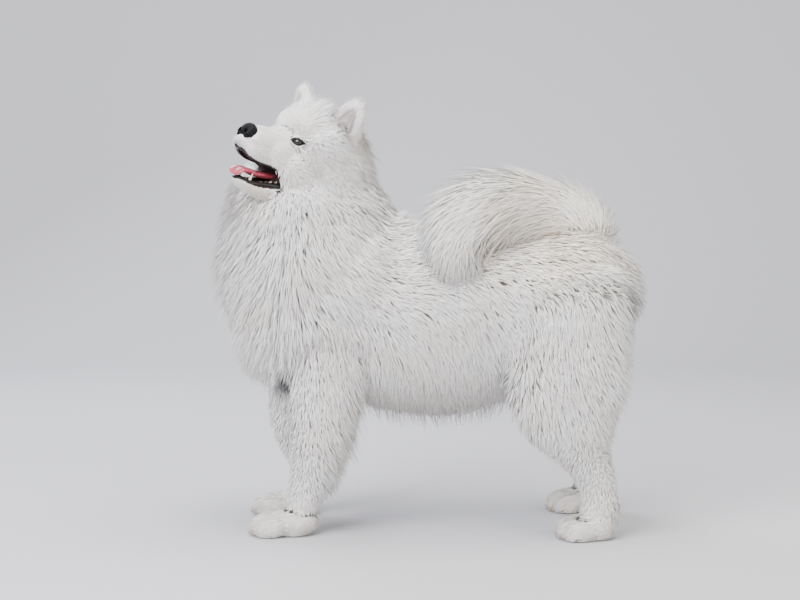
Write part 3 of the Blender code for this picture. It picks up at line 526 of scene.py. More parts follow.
def ellipsoid(centre, radii, turned=(0, 0, 0), rings=16, sides=24):
    """Points and faces of a closed oval body."""
    points = [(0, 0, -1)]
    for r in range(1, rings):
        a = math.pi * r / rings
        points += [(math.sin(a) * math.cos(b), math.sin(a) * math.sin(b), -math.cos(a))
                   for b in np.linspace(0, 2 * math.pi, sides, endpoint=False)]
    points.append((0, 0, 1))
    at = Matrix.Translation(centre) @ Euler([math.radians(a) for a in turned]).to_matrix().to_4x4()
    return carried(at, np.array(points) * np.array(radii)), ball_faces(rings, sides)


def gathered(shapes):
    """Several bodies, each as points and faces, as the points and faces of one."""
    points, faces, start = [], [], 0
    for p, f in shapes:
        points.append(p)
        faces += [tuple(i + start for i in face) for face in f]
        start += len(p)
    return np.vstack(points), faces


def piece(name, points, faces, material=None):
    """A mesh object whose place is in its points."""
    mesh = bpy.data.meshes.new(name)
    mesh.from_pydata([tuple(p) for p in points], [], faces)
    mesh.shade_smooth()
    if material:
        mesh.materials.append(material)
    obj = bpy.data.objects.new(name, mesh)
    bpy.context.scene.collection.objects.link(obj)
    return obj


def applied(obj):
    """The object with its modifiers made part of its mesh."""
    graph = bpy.context.evaluated_depsgraph_get()
    mesh = bpy.data.meshes.new_from_object(obj.evaluated_get(graph))
    obj.modifiers.clear()
    old = obj.data
    obj.data = mesh
    bpy.data.meshes.remove(old)
    return obj


def remeshed(obj, voxel, rounds=3):
    """The same body in even faces, softened."""
    change = obj.modifiers.new("even", "REMESH")
    change.mode, change.voxel_size, change.adaptivity = "VOXEL", voxel, 0
    soften = obj.modifiers.new("soften", "SMOOTH")
    soften.factor, soften.iterations = 0.5, rounds
    return applied(obj)


def joined(obj, other, operation):
    """A Boolean of two closed bodies. The second one is removed."""
    change = obj.modifiers.new("join", "BOOLEAN")
    change.operation, change.object, change.solver = operation, other, "MANIFOLD"
    applied(obj)
    old = other.data
    bpy.data.objects.remove(other)
    bpy.data.meshes.remove(old)
    return obj


def points_of(mesh, what="co"):
    """The places or the normals of a mesh's points."""
    values = np.empty(len(mesh.vertices) * 3, np.float32)
    mesh.vertices.foreach_get(what, values)
    return values.reshape(-1, 3).astype(float)


def put_points(mesh, points):
    """Moves a mesh's points."""
    mesh.vertices.foreach_set("co", np.asarray(points, np.float32).ravel())
    mesh.update()


def mark(mesh, name, values):
    """Keeps a number for each point of a mesh."""
    numbers = mesh.attributes.get(name) or mesh.attributes.new(name, "FLOAT", "POINT")
    numbers.data.foreach_set("value", np.asarray(values, np.float32).ravel())


def dressed(obj, slot, *nodes):
    """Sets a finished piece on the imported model's body, in place of nodes if any."""
    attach(obj, "root")
    if nodes:
        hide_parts(*nodes)
    return obj


def surface_tree(obj):
    """Finds the nearest place on an object's surface."""
    return BVHTree.FromPolygons([v.co for v in obj.data.vertices], [p.vertices for p in obj.data.polygons])


# The skin
EAR_FUR, PAW_FUR = 0.0022, 0.0015  # how far the skin lies inside the ear's and the paw's form
EAR_COAT, PAW_COAT = 0.006, 0.004
BODY_VOXEL, HEAD_FORM_VOXEL, HEAD_VOXEL = 0.0056, 0.0024, 0.0019
BODY_LEAST, HEAD_LEAST = 0.009, 0.003  # the skin's least half width
FORM_SIDES, EAR_SIDES = 28, 24
NAPE_BOX, NAPE_OVERLAP = 0.30, 0.004
GROUND_GAP = 0.0012  # the skin stays this far over the floor
TROUGH = ((0, 0.074, -0.058), (0.018, 0.050, 0.0135), (-8, 0, 0))  # the hollow of the lower jaw
SOCKET_GAP = 0.0003
made = {}  # what one operator leaves for the next


def body_rows():
    """The body's parts with their rows."""
    yield "trunk", trunk_rows()
    yield "neck", NECK
    yield "tail", TAIL
    for word, side in SIDES:
        yield f"foreleg_{word}", foreleg_rows(side)
        yield f"hindleg_{word}", hindleg_rows(side)


def paw_shapes(x, y, half_length, inside):
    """The forms of one paw: its top, its heel and its four toes."""
    lean = (12, 0, 0)
    yield ellipsoid((x, y + 0.010, 0.023), (0.0368 - inside, 0.74 * half_length - inside, 0.024 - inside))
    yield ellipsoid((x, y + 0.010, 0.013), (0.033 - inside, 0.031 - inside, 0.021 - inside))
    for across, lead in zip(TOE_SPREAD, TOE_LEAD):
        yield ellipsoid((x + across, y - half_length + 0.030 - lead, 0.016),
                        (0.0118 - inside, 0.028 - inside, 0.0205 - inside), lean)


def row_form(rows, share, least):
    """A tube inside its coat: its points and faces, and the coat's depth at each point."""
    points, faces = tube(rows, FORM_SIDES, share, least)
    coats = smooth_rows([r[5:6] for r in rows]).ravel()
    ends = len(END_TURNS)
    coats = np.concatenate([[coats[0]] * ends, coats, [coats[-1]] * ends])
    return points, faces, np.repeat(coats, FORM_SIDES)


def box_before(point, way, size, back):
    """A box on the near side of a plane, which it passes by a little."""
    across = way.orthogonal().normalized()
    up = way.cross(across)
    corners = [point + across * (a * size) + up * (b * size) + way * c
               for c in (-size, back) for a, b in ((-1, -1), (1, -1), (1, 1), (-1, 1))]
    faces = [(0, 1, 2, 3), (7, 6, 5, 4), (0, 4, 5, 1), (1, 5, 6, 2), (2, 6, 7, 3), (3, 7, 4, 0)]
    return [tuple(c) for c in corners], faces


def make_skin_mesh(sizes):
    """The one skin, and the forms that give it its parts and coat, as part, coat depths and points."""
    forms = []
    body, head = body_mesh(sizes, forms), head_mesh(forms)
    skin = joined(body, head, "UNION")
    points = points_of(skin.data)
    edges = np.array([e.vertices[:] for e in skin.data.edges])
    # the seam between the head and the body is softened
    off = np.abs((points - np.array(NAPE)) @ np.array(NAPE_WAY))
    seam = (1 - ramp(off, 0.012, 0.034)) * ramp(carried(HEAD_PLACE.inverted(), points)[:, 1], 0.105, 0.125)
    seam *= 1 - ramp(np.linalg.norm(points - np.array(NAPE), axis=1), 0.16, 0.20)
    points = points + seam[:, None] * (averaged(points, edges, 30) - points)
    points[:, 2] = np.maximum(points[:, 2], GROUND_GAP)
    put_points(skin.data, points)
    return skin, forms


def body_mesh(sizes, forms):
    """The body's skin up to the nape, in even faces."""
    shapes = []
    for part, rows in body_rows():
        points, faces, coats = row_form(rows, sizes.skin_depth, BODY_LEAST)
        forms.append((part, coats, points))
        shapes.append((points, faces))
    for name, _, x, y, half_length in paw_places():
        for points, faces in paw_shapes(x, y, half_length, PAW_FUR):
            forms.append((name, np.full(len(points), PAW_COAT), points))
            shapes.append((points, faces))
    body = remeshed(piece("skin", *gathered(shapes)), BODY_VOXEL, 4)
    before = box_before(NAPE, NAPE_WAY, NAPE_BOX, NAPE_OVERLAP)
    return joined(body, piece("before_nape", *before), "DIFFERENCE")


def head_mesh(forms):
    """The head's skin with its ears, its lids, its eye sockets and the jaw's trough, in finer faces."""
    shapes = []
    for part, rows in (("head", MUZZLE), ("jaw", JAW)):
        points, faces, coats = row_form(rows, 1.0, HEAD_LEAST)
        forms.append((part, coats, carried(HEAD_PLACE, points)))
        shapes.append((carried(HEAD_PLACE, points), faces))
    for centre, radii, fur in SKULL_FORMS:
        points, faces = ellipsoid(centre, [r - fur for r in radii])
        forms.append(("head", np.full(len(points), fur), carried(HEAD_PLACE, points)))
        shapes.append((carried(HEAD_PLACE, points), faces))
    head = remeshed(piece("head_form", *gathered(shapes)), HEAD_FORM_VOXEL, 12)
    placed_cut(head, HEAD_PLACE, ellipsoid(*TROUGH), "DIFFERENCE")
    for word, side in SIDES:
        at = ear_place(side)
        pinna = [(*r[:3], r[3] - EAR_FUR, r[4] - EAR_FUR) for r in PINNA]
        points, faces = tube(pinna, EAR_SIDES, end_reach=0.9)
        ear = piece("ear", carried(at, points), faces)
        forms.append((f"ear_{word}", np.full(len(points), EAR_COAT), carried(at, points)))
        placed_cut(ear, at, tube(EAR_CUP, EAR_SIDES, end_reach=0.9), "DIFFERENCE")
        joined(head, ear, "UNION")
        placed_cut(head, eye_place(side), ellipsoid((0, 0, 0), [EYE_RADIUS + LID_THICKNESS] * 3), "UNION")
    head = remeshed(head, HEAD_VOXEL, 2)
    for _, side in SIDES:
        placed_cut(head, eye_place(side), eye_opening(), "DIFFERENCE")
        placed_cut(head, eye_place(side), ellipsoid((0, 0, 0), [EYE_RADIUS - SOCKET_GAP] * 3), "DIFFERENCE")
    return head


def placed_cut(obj, at, shape, operation):
    """A Boolean of a body with a shape, given as points and faces, that is moved to its place first."""
    points, faces = shape
    return joined(obj, piece("shape", carried(at, points), faces), operation)


def almond(count, grow=0.0):
    """The edge of the lids' opening, seen along the gaze."""
    edge = []
    for a in np.linspace(0, 2 * math.pi, count, endpoint=False):
        c, s = math.cos(a), math.sin(a)
        z = (EYE_UPPER if s > 0 else EYE_LOWER) + grow
        edge.append(((EYE_HALF_WIDTH + grow) * c, z * s * abs(s) ** 0.7))
    return edge


def eye_opening():
    """The almond prism that opens the lids before the eyeball, a little wider towards the front."""
    count = 48
    rings = [(0.0, -0.0005), (-0.010, 0.0), (-0.020, 0.004)]  # depth, and how much wider than the lids' edge
    points = [(x, y, z) for y, grow in rings for x, z in almond(count, grow)]
    return points, tube_faces(len(rings), count)


def averaged(values, edges, rounds):
    """Values at a mesh's points, each drawn towards its neighbours' mean."""
    count = len(values)
    degree = np.maximum(np.bincount(edges.ravel(), minlength=count), 1)[:, None]
    for _ in range(rounds):
        total = np.empty_like(values)
        for k in range(values.shape[1]):
            total[:, k] = (np.bincount(edges[:, 0], values[edges[:, 1], k], count)
                           + np.bincount(edges[:, 1], values[edges[:, 0], k], count))
        values = 0.5 * values + 0.5 * total / degree
    return values


# How the coat lies
def band(values, low, high, soft):
    """1 between low and high and 0 outside, with soft ends."""
    return ramp(values, low - soft, low + soft) * (1 - ramp(values, high - soft, high + soft))


def nearest_axis(rows, points):
    """Share along a part's curve, angle round it and direction ahead, for each point."""
    curve = smooth_rows([r[:3] for r in rows], 12)
    ahead, across, depth = frames_along(curve)
    best = np.empty(len(points), int)
    for low in range(0, len(points), 4000):
        gap = points[low:low + 4000, None, :] - curve[None]
        best[low:low + 4000] = np.argmin((gap ** 2).sum(2), axis=1)
    off = points - curve[best]
    angle = np.arctan2((off * depth[best]).sum(1), (off * across[best]).sum(1))
    step = (off * ahead[best]).sum(1) / max(np.linalg.norm(curve[1] - curve[0]), 1e-6)
    along = np.clip((best + np.clip(step, -1, 1)) / (len(curve) - 1), 0, 1)
    return along, angle, ahead[best]


def rows_of(part):
    """Places along the middle of one part, from its root to its tip."""
    side = 1 if part.endswith("left") else -1
    if part.startswith("ear"):
        return [tuple(ear_place(side) @ Vector(r[:3])) for r in PINNA]
    if part in ("head", "jaw"):
        return [tuple(HEAD_PLACE @ Vector((0, y, 0))) for y in np.linspace(0, HEAD_LENGTH, 6)]
    paws = {name: [(x, y + half, 0.02), (x, y, 0.02), (x, y - half, 0.015)]
            for name, _, x, y, half in paw_places()}
    return paws[part] if part in paws else dict(body_rows())[part]


LEG_COAT_LEAST = 0.0050


class Lie(NamedTuple):
    """How the tufts lie, each value a number or one for each point."""

    way: object  # the way that they grow
    stand: object  # the larger, the more they still rise at the tip
    height: object  # how high the tips lie over the skin, in metres
    length: object
    width: object  # both in metres
    room: object  # skin for one tuft, in square metres
    hug: object  # how closely they follow the body's curve


def trunk_lie(p, n, coat):
    """Back over the top, down the flanks, and hanging loose under the belly."""
    up = ramp(p[:, 2], 0.27, 0.56)
    way = np.stack([0 * p[:, 0], 0.12 + 0.98 * up, -(1.1 - 0.9 * up)], 1)
    way += ramp(p[:, 1], 0.33, 0.40)[:, None] * np.array([0, -0.2, -0.9])
    under = ramp(-n[:, 2], 0.3, 0.9)
    return Lie(way, stand=0.5 + 0.5 * under, height=coat * (0.86 - 0.10 * under),
               length=0.056 - 0.006 * under, width=0.0033, room=9.8e-6 * (1 - 0.15 * under),
               hug=1 - 0.80 * under)


def neck_lie(p, n, coat):
    """The ruff: down the chest and down and back over the shoulders."""
    front = ramp(-n[:, 1], -0.1, 0.8)
    high = ramp(p[:, 2], 0.56, 0.66)
    way = np.stack([0.12 * np.sign(p[:, 0]), 0.75 - 1.10 * front, -1 + 0 * front], 1)
    height = coat * (0.84 + 0.14 * front * (1 - high))
    return Lie(way, stand=0.6 + 0.2 * front + 0.1 * high, height=height,
               length=np.maximum(1.3 * height, 0.034) * (1 - 0.2 * high), width=0.0034 - 0.0012 * high,
               room=11.0e-6 - 4.5e-6 * high, hug=0.9)


def tail_lie(p, n, coat):
    """Long hair along the tail that falls off it to the side."""
    ahead = nearest_axis(TAIL, p)[2]
    return Lie(ahead + np.array([0.10, -0.05, -0.25]), stand=0.45, height=coat * 0.84, length=0.105,
               width=0.0036, room=3.3e-6, hug=0.85)


def foreleg_lie(p, n, coat):
    """Down the leg, close at the wrist, with a feather behind."""
    x, _, z = p.T
    back = ramp(n[:, 1], 0.1, 0.7)
    feather = back * band(z, 0.09, 0.30, 0.03)
    high, low = ramp(z, 0.10, 0.30), 1 - ramp(z, 0.07, 0.11)
    close = 0.28 + 0.72 * ramp(z, 0.050, 0.110)
    return Lie(np.stack([0 * x, 0.15 + 0.45 * back, -1 + 0 * x], 1), stand=0.35 + 0.5 * feather,
               height=np.maximum(coat * 0.80, LEG_COAT_LEAST) * close + 0.024 * feather,
               length=0.014 - 0.004 * low + 0.024 * high + 0.032 * feather, width=0.0020 + 0.0014 * high,
               room=8e-6 - 2.5e-6 * low + 3e-6 * high, hug=1 - 0.75 * feather)


def hindleg_lie(p, n, coat):
    """Down and back over the thigh, and short below the hock."""
    x, _, z = p.T
    back = ramp(n[:, 1], 0.1, 0.8)
    high = ramp(z, 0.14, 0.25)
    hock = band(z, 0.035, 0.080, 0.02) * back
    close = 0.32 + 0.68 * ramp(z, 0.045, 0.110)
    return Lie(np.stack([0 * x, 0.40 * high + 0.15 * back, -1 + 0 * x], 1), stand=0.45 + 0.25 * back * high,
               height=np.maximum(coat * 0.84, LEG_COAT_LEAST) * close + 0.007 * hock,
               length=0.012 + 0.040 * high + 0.010 * hock, width=0.0020 + 0.0014 * high,
               room=7e-6 + 4e-6 * high, hug=1 - 0.3 * back * high)


def paw_lie(p, n, coat):
    """Short hair towards the toes."""
    x, _, z = p.T
    upper = ramp(z, 0.028, 0.045)
    return Lie(np.stack([0 * x, -1 + 0 * x, -0.55 + 0 * x], 1), stand=0.5, height=0.0046 + 0.0010 * upper,
               length=0.012 + 0.004 * upper, width=0.0016, room=6.0e-6, hug=1)


def ear_lie(side, p, n):
    """Short hair towards the ear's tip, parted to both edges in front."""
    at = ear_place(side)
    q = carried(at.inverted(), p)
    m = aimed(at.inverted(), n)
    front = ramp(-m[:, 1], 0.2, 0.7)
    low = 1 - ramp(q[:, 2], -0.01, 0.03)
    way = aimed(at, np.stack([0.35 * np.sign(q[:, 0]) * front, 0 * front, 1 + 0 * front], 1))
    return Lie(way, stand=0.35 + 0.2 * front, height=0.0046 + 0.004 * low, length=0.013 + 0.010 * low,
               width=0.0017, room=3.2e-6, hug=0.9 - 0.5 * front)


def head_lie(p, n, coat):
    """Back from the nose, very short on the muzzle, longer on the crown, and down on the cheeks."""
    q = carried(HEAD_PLACE.inverted(), p)
    m = aimed(HEAD_PLACE.inverted(), n)
    x, y, z = q.T
    muzzle = 1 - ramp(y, 0.07, 0.12)
    cheek = ramp(np.abs(x), 0.030, 0.055) * ramp(y, 0.100, 0.135) * (1 - ramp(z, 0.02, 0.055))
    throat = ramp(-m[:, 2], 0.3, 0.8) * ramp(y, 0.06, 0.10)
    crown = ramp(m[:, 2], 0.1, 0.7) * ramp(y, 0.094, 0.120)
    brow = ramp(m[:, 2], 0.0, 0.6) * band(y, 0.088, 0.135, 0.012) * ramp(z, 0.030, 0.050)
    fine = np.maximum(np.maximum(cheek, throat), crown)
    lips = muzzle * ramp(np.abs(m[:, 0]), 0.3, 0.9)
    way = np.stack([np.sign(x) * (0.30 * cheek + 0.12 * muzzle), 1 + 0 * x,
                    -0.25 * lips - 0.55 * cheek - 0.35 * throat + 0.10 * crown], 1)
    return Lie(aimed(HEAD_PLACE, way), stand=0.2 + 0.5 * crown + 0.35 * cheek,
               height=(np.maximum(coat, 0.0024) + 0.007 * crown + 0.005 * cheek + 0.006 * throat
                       + 0.004 * brow),
               length=0.0075 + 0.010 * (1 - muzzle) + 0.006 * crown + 0.014 * np.maximum(cheek, throat),
               width=0.0012 + 0.0006 * (1 - muzzle) + 0.0004 * fine,
               room=2.0e-6 + 1.3e-6 * (1 - muzzle) + 1.1e-6 * fine, hug=0.9 - 0.4 * brow)


def coat_lie(part, p, n, coat):
    """How the tufts lie at points of one part, from the points, their normals and the coat's depth there."""
    if part.startswith("ear"):
        return ear_lie(1 if part.endswith("left") else -1, p, n)
    kinds = {"trunk": trunk_lie, "neck": neck_lie, "tail": tail_lie, "foreleg": foreleg_lie,
             "hindleg": hindleg_lie, "forepaw": paw_lie, "hindpaw": paw_lie, "head": head_lie,
             "jaw": head_lie}
    return kinds[part.split("_")[0]](p, n, coat)


# The armpit and the groin, where more tufts fill the hollow
PITS = tuple((side * 0.085, y, z) for _, side in SIDES for y, z in ((-0.205, 0.285), (0.190, 0.290)))
PIT_RADIUS, PIT_FILL = 0.075, 0.55

# Share, middle and radius of each coloured place, on the body and in the head's own directions
CREAM_PLACES = (
    (0.55, (0.09, 0.26, 0.525), 0.11),
    (0.4, (0.15, -0.03, 0.53), 0.12),
    (0.25, (0.1, 0.05, 0.22), 0.22),
)
CHIN_PLACE = (0.6, (0, 0.07, -0.08), 0.08)
GREY_PLACES = (
    (0.9, (0.0, 0.010, -0.018), 0.020),
    (0.30, (0.026, 0.045, -0.022), 0.030),
    (0.30, (-0.026, 0.045, -0.022), 0.030),
    (0.25, (0.0, 0.02, 0.010), 0.022),
)
TOE_STAINS = ((0.0, 0.013), (0.021, 0.006), (-0.021, 0.006))  # across the paw and ahead
TOE_STAIN, TOE_STAIN_RADIUS = 0.8, 0.016


def blob(points, centre, radius):
    """1 at a place and 0 beyond its radius."""
    return 1 - ramp(np.linalg.norm(points - np.array(centre), axis=1) / radius, 0.0, 1.0)


def spots(points, places):
    """The sum of some places, each with its share, middle and radius."""
    return sum(share * blob(points, centre, radius) for share, centre, radius in places)


def markings(p, part_is):
    """Cream, stained, grey and bare places, the same on the skin and on the tufts over it."""
    q = carried(HEAD_PLACE.inverted(), p)
    chin = ramp(-q[:, 2], 0.070, 0.085) * (1 - ramp(q[:, 1], 0.06, 0.13)) * spots(q, [CHIN_PLACE])
    over_back = 0.35 * ramp(p[:, 1], -0.05, 0.30) * ramp(p[:, 2], 0.40, 0.56)
    cream = spots(p, CREAM_PLACES) + over_back + 0.25 * (1 - ramp(p[:, 2], 0.02, 0.12)) + chin
    stain, bare = np.zeros(len(p)), np.zeros(len(p))
    for _, _, x, y, half in paw_places():
        for across, lead in TOE_STAINS:
            stain += TOE_STAIN * blob(p, (x + across, y - half + 0.006 - lead, 0.006), TOE_STAIN_RADIUS)
    for word, side in SIDES:
        own = carried(ear_place(side).inverted(), p)
        inside = part_is[f"ear_{word}"] * ramp(-own[:, 1], -0.004, 0.001)
        inside = inside * (1 - ramp(np.hypot(own[:, 0] / 0.021, (own[:, 2] - 0.018) / 0.040), 0.75, 1.0))
        bare = np.maximum(bare, 0.5 * inside)
        stain += 1.6 * inside * blob(own, (side * -0.002, -0.006, 0.002), 0.020)
    return {name: np.clip(v, 0, 1) for name, v in
            (("cream", cream), ("stain", stain), ("grey", spots(q, GREY_PLACES)), ("bare", bare))}


# Columns of the numbers that are kept for each point of the skin
WAY, STAND, HEIGHT, LENGTH, WIDTH, ROOM, HUG, WISPS = slice(0, 3), 3, 4, 5, 6, 7, 8, 9


def nearest_forms(points, forms):
    """The part and the coat's depth at each point of the skin, from the nearest point of the forms."""
    names = sorted({part for part, _, _ in forms})
    parts = np.concatenate([np.full(len(places), names.index(part)) for part, _, places in forms])
    coats = np.concatenate([coat for _, coat, _ in forms])
    tree = KDTree(len(parts))
    for k, place in enumerate(np.vstack([places for _, _, places in forms])):
        tree.insert(place, k)
    tree.balance()
    near = np.array([tree.find(point)[1] for point in points])
    return parts[near], coats[near], names


def coat_fields(p, n, part, coat, names):
    """How the coat lies at each point of the skin, in the columns named above."""
    fields = np.zeros((len(p), WISPS + 1))
    for k, name in enumerate(names):
        mine = part == k
        if mine.any():
            way, *rest = coat_lie(name, p[mine], n[mine], coat[mine])
            fields[mine, :WISPS] = np.column_stack([unit(way)] + [v * np.ones(mine.sum()) for v in rest])
    for pit in PITS:
        fields[:, ROOM] *= 1 - PIT_FILL * blob(p, pit, PIT_RADIUS)
    own = carried(HEAD_PLACE.inverted(), p)
    up = aimed(HEAD_PLACE.inverted(), n)[:, 2]
    fields[:, WISPS] = ramp(up, 0.1, 0.6) * ramp(own[:, 1], 0.085, 0.105) * ramp(own[:, 2], 0.03, 0.06)
    return fields


def measure_skin(skin, forms):
    """Keeps, for each point of the skin, its part, its markings and how the coat lies there."""
    mesh = skin.data
    p, n = points_of(mesh), points_of(mesh, "normal")
    part, coat, names = nearest_forms(p, forms)
    edges = np.empty(len(mesh.edges) * 2, np.int32)
    mesh.edges.foreach_get("vertices", edges)
    edges = edges.reshape(-1, 2)
    fields = averaged(coat_fields(p, n, part, coat, names), edges, 26)
    part_is = {name: averaged((part == names.index(name))[:, None].astype(float), edges, 3)[:, 0]
               for name in names if name.startswith("ear")}
    shown, mouth = markings(p, part_is), mouth_share(p, n)
    for name, values in {**shown, "mouth": mouth}.items():
        mark(mesh, name, values)
    mesh.calc_loop_triangles()
    triangles = np.empty(len(mesh.loop_triangles) * 3, np.int32)
    mesh.loop_triangles.foreach_get("vertices", triangles)
    triangles = triangles.reshape(-1, 3)
    on_tail = part[triangles[:, 0]] == names.index("tail")
    trees = [BVHTree.FromPolygons(p.tolist(), triangles[chosen].tolist()) for chosen in (~on_tail, on_tail)]
    made["skin"] = dict(points=p, normals=n, part=part, names=names, fields=fields, marks=shown, mouth=mouth,
                        triangles=triangles, tree=surface_tree(skin), body_tree=trees[0], tail_tree=trees[1])


def mouth_share(p, n):
    """1 inside the mouth, between the lips, and 0 on the face."""
    across, y, z = carried(HEAD_PLACE.inverted(), p).T
    across, up = np.abs(across), aimed(HEAD_PLACE.inverted(), n)[:, 2]
    lips = smooth_rows(LIP_LINE, 10)
    corner = len(lips) // 2 + 4
    upper, lower = lips[:corner], lips[corner:][::-1]
    half_up, half_low = (np.interp(y, lip[:, 1], lip[:, 0], left=0.0) for lip in (upper, lower))
    z_up, z_low = (np.interp(y, lip[:, 1], lip[:, 2]) for lip in (upper, lower))
    within = (y > 0.004) & (y < 0.125) & (across < np.maximum(half_up, half_low) - 0.0005)
    roof = within & (up < -0.15) & (z > (z_up + z_low) / 2) & (across < half_up - 0.001) & (z < z_up + 0.012)
    floor = within & (up > 0.1) & (z < (z_up + z_low) / 2 + 0.004) & (across < half_low) & (z > -0.082)
    back = within & (y > 0.085) & (z < z_up) & (z > z_low)
    rise = np.clip((z - z_low) / np.maximum(z_up - z_low, 0.001), 0, 1)
    between = half_low + (half_up - half_low) * rise
    walls = (y > 0.02) & (y < 0.122) & (z < z_up + 0.004) & (z > z_low - 0.002) & (across < between - 0.0015)
    return (roof | floor | back | walls).astype(float)


# The coat
def strand_noise(points, scale, seed):
    """A smooth number that wanders over space, mostly between -1 and 1."""
    rng = np.random.default_rng(seed)
    total = np.zeros(len(points))
    for _ in range(5):
        way = rng.normal(size=3)
        waves = points @ (way / np.linalg.norm(way)) * rng.uniform(0.6, 1.6) / scale
        total += np.sin(waves + rng.uniform(0, 6.28))
    return total / 3.0


RING_PLACES = (0.0, 0.48, 1.0)  # shares along a tuft, the last one its tip
RING_WIDTHS = (0.60, 1.0)
TUFT_PATCH = 0.003  # a tuft's size on the unwrap, whose edge is as wide
TUFT_TRIANGLES = 10
PIECE_TRIANGLES = 190000


def tuft_template():
    """Faces of one tuft, its UV patch and the share along at each point."""
    rings = len(RING_WIDTHS)
    faces, patch = [(0, 1, 2)], [(0.35, 0.0), (0.65, 0.0), (0.50, 0.12)]
    height = [0.15 + 0.85 * s for s in RING_PLACES]
    for r in range(rings - 1):
        for k in range(3):
            j = (k + 1) % 3
            faces.append((3 * r + k, 3 * r + 3 + k, 3 * r + 3 + j, 3 * r + j))
            patch += [(k / 3, height[r]), (k / 3, height[r + 1])]
            patch += [((k + 1) / 3, height[r + 1]), ((k + 1) / 3, height[r])]
    tip = 3 * rings
    for k in range(3):
        j = (k + 1) % 3
        faces.append((tip - 3 + k, tip, tip - 3 + j))
        patch += [(k / 3, height[-2]), ((k + 0.5) / 3, 1.0), ((k + 1) / 3, height[-2])]
    shares = [s for s in RING_PLACES[:-1] for _ in range(3)] + [1.0]
    return faces, np.array(patch), np.array(shares)


def tuft_points(paths, over, up, width, soft):
    """The points of closed three-sided tufts, and the ways that their shading faces.

    paths holds the root, control and tip of each, over and up its own directions, and soft the way up over
    the skin, to which the shading leans, so that the coat looks soft.
    """
    root, middle, tip = paths
    points = np.empty((len(root), 3 * len(RING_WIDTHS) + 1, 3))
    facing = np.empty_like(points)
    for r, (s, w) in enumerate(zip(RING_PLACES, RING_WIDTHS)):
        centre = (1 - s) ** 2 * root + 2 * s * (1 - s) * middle + s * s * tip
        half = (0.5 * w * width)[:, None]
        points[:, 3 * r] = centre - over * half - up * half * 0.12
        points[:, 3 * r + 1] = centre + over * half - up * half * 0.12
        points[:, 3 * r + 2] = centre + up * half * 0.30
        facing[:, 3 * r] = soft - 0.14 * over
        facing[:, 3 * r + 1] = soft + 0.14 * over
        facing[:, 3 * r + 2] = soft + 0.2 * up
    points[:, -1] = tip
    facing[:, -1] = soft
    return points, unit(facing)


def tuft_mesh(name, points, facing, uv, marks, material):
    """One mesh of tufts from their points, with their unwrap and what is kept for each."""
    faces, patch, shares = tuft_template()
    count, each = points.shape[:2]
    mesh = bpy.data.meshes.new(name)
    mesh.vertices.add(count * each)
    mesh.vertices.foreach_set("co", (points.reshape(-1, 3) + np.array(SHIFT)).astype(np.float32).ravel())
    flat = np.concatenate([np.array(f) for f in faces])
    sizes = np.array([len(f) for f in faces])
    loops = (flat[None] + (np.arange(count) * each)[:, None]).astype(np.int32).ravel()
    starts = np.concatenate([[0], np.cumsum(sizes)[:-1]])
    starts = (starts[None] + (np.arange(count) * len(flat))[:, None]).astype(np.int32).ravel()
    mesh.loops.add(len(loops))
    mesh.loops.foreach_set("vertex_index", loops)
    mesh.polygons.add(len(starts))
    mesh.polygons.foreach_set("loop_start", starts)
    mesh.update(calc_edges=True)
    mesh.shade_smooth()
    corner = uv[:, None, :] + (patch[None] - 0.5) * TUFT_PATCH
    mesh.uv_layers.new(name="OFBake").data.foreach_set("uv", corner.astype(np.float32).ravel())
    mark(mesh, "tip", np.tile(shares, count))
    leaning = mesh.attributes.new("custom_normal", "FLOAT_VECTOR", "POINT")
    leaning.data.foreach_set("vector", facing.astype(np.float32).ravel())
    for key, values in marks.items():
        mark(mesh, key, np.repeat(values, each))
    mesh.materials.append(material)
    obj = bpy.data.objects.new(name, mesh)
    bpy.context.scene.collection.objects.link(obj)
    return obj


def keep_out_zones():
    """Places in the head that no hair crosses: a matrix into a unit ball for each."""
    zones = []
    for _, side in SIDES:
        zones.append(eye_place(side) @ Matrix.Translation((0, -0.008, 0))
                     @ Matrix.Diagonal((EYE_HALF_WIDTH + 0.0016, 0.012, EYE_UPPER + 0.0012, 1)))
    zones.append(NOSE_PLACE @ Matrix.Translation((0, 0.008, 0.003))
                 @ Matrix.Diagonal((0.0205, 0.0165, 0.0165, 1)))
    return [z.inverted() for z in zones]


def scattered(rng, parts, side, share):
    """Random places over some parts of the skin: how to take a value at them, and the part of each."""
    skin = made["skin"]
    tri = skin["triangles"]
    part = skin["part"][tri[:, 0]]
    middle = skin["points"][tri].mean(1)
    keep = np.isin(part, [k for k, n in enumerate(skin["names"]) if n in parts])
    if side:
        own = carried(HEAD_PLACE.inverted(), middle) if "head" in parts else middle
        keep &= own[:, 0] * side > 0
    keep &= skin["mouth"][tri].max(1) < 0.5
    keep &= middle[:, 2] > 0.004
    tri, part = tri[keep], part[keep]
    a, b, c = (skin["points"][tri[:, k]] for k in range(3))
    area = np.linalg.norm(np.cross(b - a, c - a), axis=1) / 2
    room = skin["fields"][tri][:, :, ROOM].mean(1)
    total = np.cumsum(area / room * share)
    count = int(total[-1])
    pick = np.searchsorted(total, (np.arange(count) + rng.random(count)) / count * total[-1])
    pick = np.minimum(pick, len(tri) - 1)
    r1, r2 = np.sqrt(rng.random(count)), rng.random(count)
    shares = np.stack([1 - r1, r1 * (1 - r2), r1 * r2], 1)

    def at(values):
        picked = values[tri[pick]]
        return (picked * (shares[:, :, None] if picked.ndim == 3 else shares)).sum(1)

    return at, part[pick]


